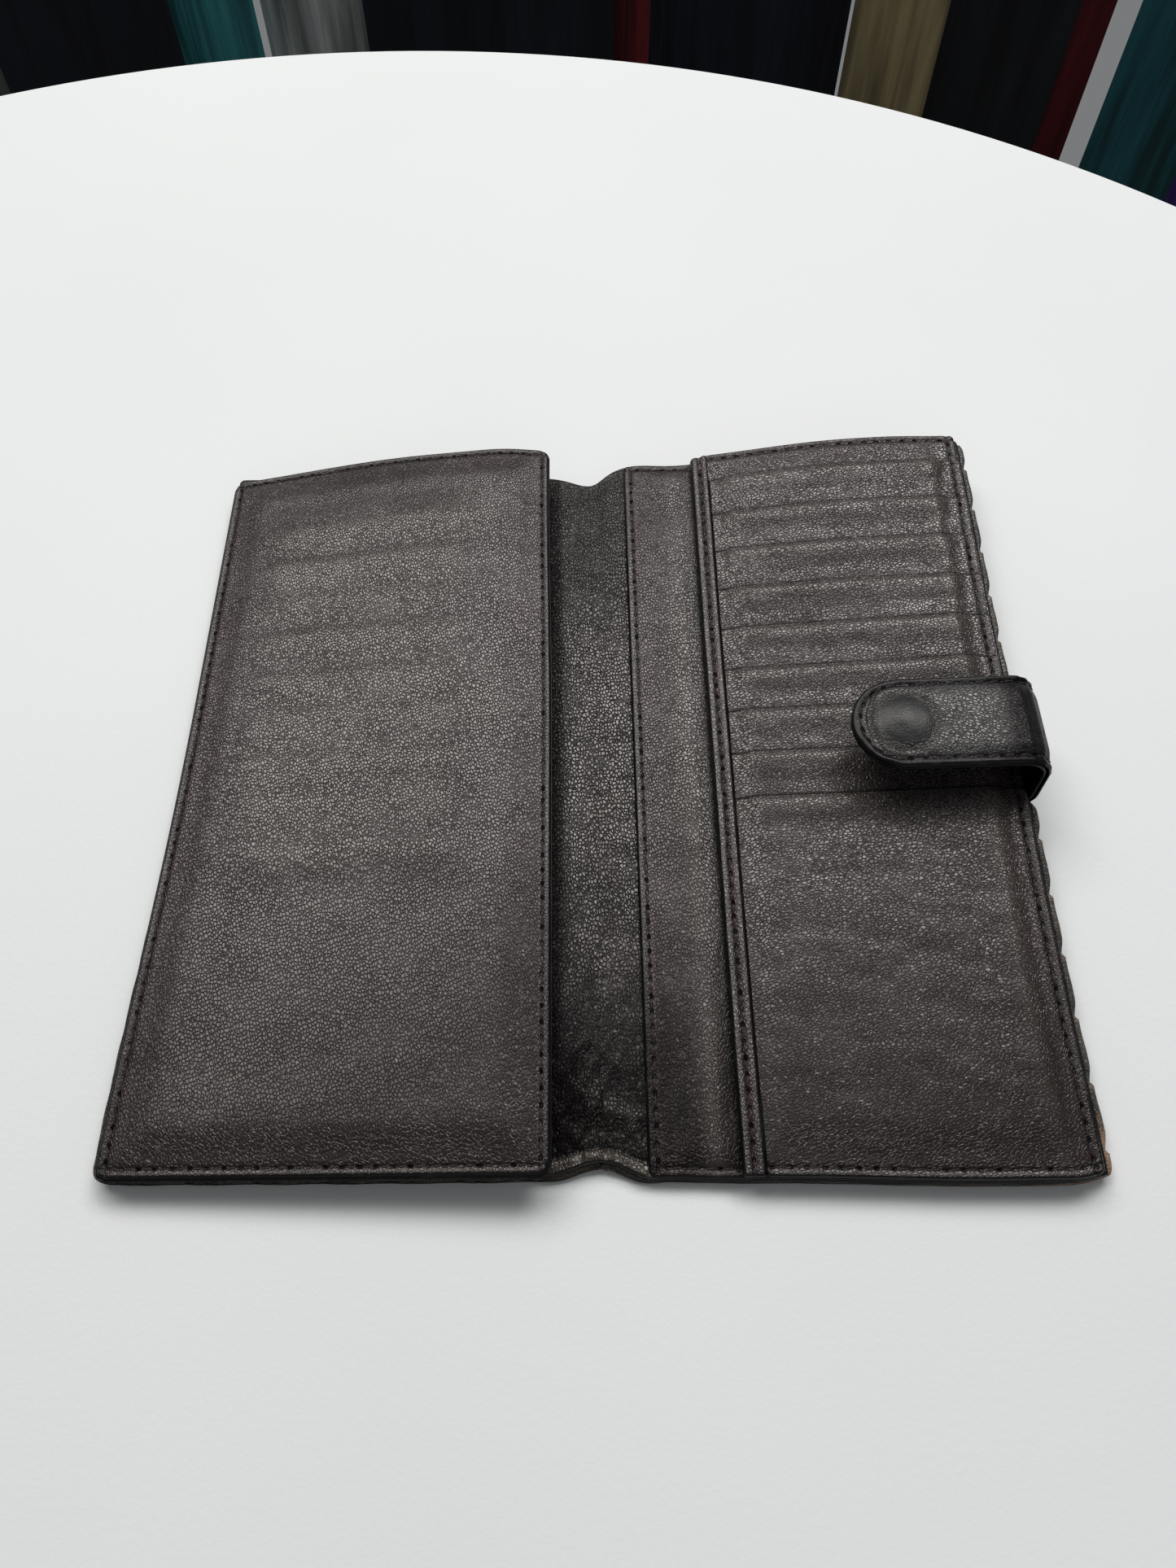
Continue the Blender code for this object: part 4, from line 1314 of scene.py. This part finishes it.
def table():
    """A round white table, 0.82 m across. The wallet lies past its middle, nearer the far edge."""
    radius, middle, sides = 0.410, (-0.064, -0.088), 256
    turns = [2 * math.pi * k / sides for k in range(sides)]
    points = [
        (middle[0] + (radius + out) * math.cos(turn), middle[1] + (radius + out) * math.sin(turn), z)
        for out, z in ((-0.001, 0.0), (0.0, -0.001), (0.0, -0.022))
        for turn in turns
    ]
    faces = [tuple(range(sides))]
    for ring in (0, sides):
        for k in range(sides):
            a, b = ring + k, ring + (k + 1) % sides
            faces.append((a, a + sides, b + sides, b))
    s = Shader("table_look", by_object=True)
    colour = s.mix(s.noise(130.0, 3.0, 0.5), (0.655, 0.665, 0.660), (0.705, 0.712, 0.705))
    pores = s.bump(s.noise(1.3, 4.0, 0.65), 0.06)
    staged("table_top", points, faces, s.finish(colour, 0.48, pores, Specular_IOR_Level=0.22))


def background():
    """Dark clothes on a rail and a dark floor, past and below the table's far edge."""
    # (left edge, width, colour)
    cloths = (
        (-1.05, 0.16, (0.035, 0.008, 0.012)), (-0.90, 0.20, (0.010, 0.020, 0.030)),
        (-0.72, 0.10, (0.16, 0.18, 0.16)), (-0.62, 0.20, (0.006, 0.008, 0.016)),
        (-0.43, 0.09, (0.05, 0.30, 0.32)), (-0.34, 0.12, (0.55, 0.58, 0.56)),
        (-0.22, 0.26, (0.005, 0.008, 0.016)), (0.02, 0.06, (0.20, 0.014, 0.018)),
        (0.08, 0.22, (0.006, 0.010, 0.022)), (0.29, 0.10, (0.38, 0.30, 0.15)),
        (0.38, 0.16, (0.008, 0.010, 0.014)), (0.53, 0.06, (0.16, 0.012, 0.016)),
        (0.59, 0.12, (0.012, 0.11, 0.13)), (0.70, 0.20, (0.10, 0.035, 0.30)),
        (0.88, 0.12, (0.30, 0.32, 0.33)), (1.00, 0.40, (0.006, 0.007, 0.009)),
    )
    for number, (left, width, colour) in enumerate(cloths):
        s = Shader(f"cloth_look_{number + 1}", by_object=True)
        folds = s.noise((22.0, 300.0, 300.0), 3.0, 0.5)
        # Painted shade: each cloth is darker in its folds, a shaded copy of its colour.
        fold_shaded_colour = s.mix(s.between(folds, 0.35, 0.65), tuple(0.35 * c for c in colour), colour)
        material = s.finish(fold_shaded_colour, 0.9, s.bump(folds, 12.0))
        y, low, high = 1.15 + 0.03 * (number % 3), -1.3, -0.1 - 0.02 * (number % 2)
        corners = [(left, y, low), (left + width, y, low), (left + width, y, high), (left, y, high)]
        staged(f"hanging_cloth_{number + 1}", corners, [(0, 1, 2, 3)], material)
    s = Shader("room_floor_look", by_object=True)
    colour = s.mix(s.noise(90.0), (0.010, 0.011, 0.013), (0.030, 0.031, 0.034))
    corners = [(x, y, -0.74) for x, y in ((-3, -3), (3, -3), (3, 1.3), (-3, 1.3))]
    staged("room_floor", corners, [(0, 1, 2, 3)], s.finish(colour, 0.8, None))


def area_light(name, place, size, power, colour):
    """A lamp that faces the wallet."""
    light = bpy.data.lights.new(name, "AREA")
    light.shape = "RECTANGLE"
    light.size, light.size_y = size
    light.energy = power
    light.color = colour
    made = linked(name, light)
    made.rotation_mode = "QUATERNION"
    made.rotation_quaternion = Vector(place).to_track_quat("Z", "Y")
    made.location = place


def lights():
    area_light("window_light", (-0.60, 1.15, 1.74), (1.7, 1.1), 34.5, (1.0, 1.0, 0.985))
    area_light("side_light", (0.68, 1.14, 1.72), (1.0, 0.8), 23.0, (1.0, 1.0, 1.0))
    area_light("room_light", (0.25, -1.60, 0.75), (1.4, 0.35), 1.8, (0.92, 0.97, 1.0))
    world = bpy.data.worlds.new("soft_room")
    world.use_nodes = True
    back = world.node_tree.nodes["Background"]
    back.inputs["Color"].default_value = (0.95, 0.97, 1.0, 1.0)
    back.inputs["Strength"].default_value = 0.20
    bpy.context.scene.world = world


def camera():
    """Above the near edge, looking down at 60 degrees, as one sees a wallet that one has opened."""
    pitch, yaw, roll = (math.radians(a) for a in (60.30, 0.90, -0.2375))
    ahead = np.array([math.sin(yaw), math.cos(yaw), 0.0])
    level = np.array([math.cos(yaw), -math.sin(yaw), 0.0])
    up = np.array([0.0, 0.0, 1.0])
    forward = ahead * math.cos(pitch) - up * math.sin(pitch)
    upward = ahead * math.sin(pitch) + up * math.cos(pitch)
    right = level * math.cos(roll) - upward * math.sin(roll)
    top = level * math.sin(roll) + upward * math.cos(roll)
    data = bpy.data.cameras.new("camera")
    data.sensor_width = 36.0
    data.lens = 26.387
    data.clip_start, data.clip_end = 0.01, 20.0
    made = linked("camera", data)
    turn = Matrix([[*row] for row in np.stack([right, top, -forward], 1).tolist()])
    made.matrix_world = Matrix.Translation((-0.0037, -0.1419, 0.2435)) @ turn.to_4x4()
    bpy.context.scene.camera = made


def finish_cad_nodes():
    for name in ("closure_keeper", "strap_magnet"):
        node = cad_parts[name]
        node.data.materials.clear()
        node.data.materials.append(steel)


bpy.context.scene.view_settings.view_transform = "Standard"
camera()
lights()
table()
background()
build_halves()
build_right_half()
build_leaf()
build_strap()
finish_cad_nodes()
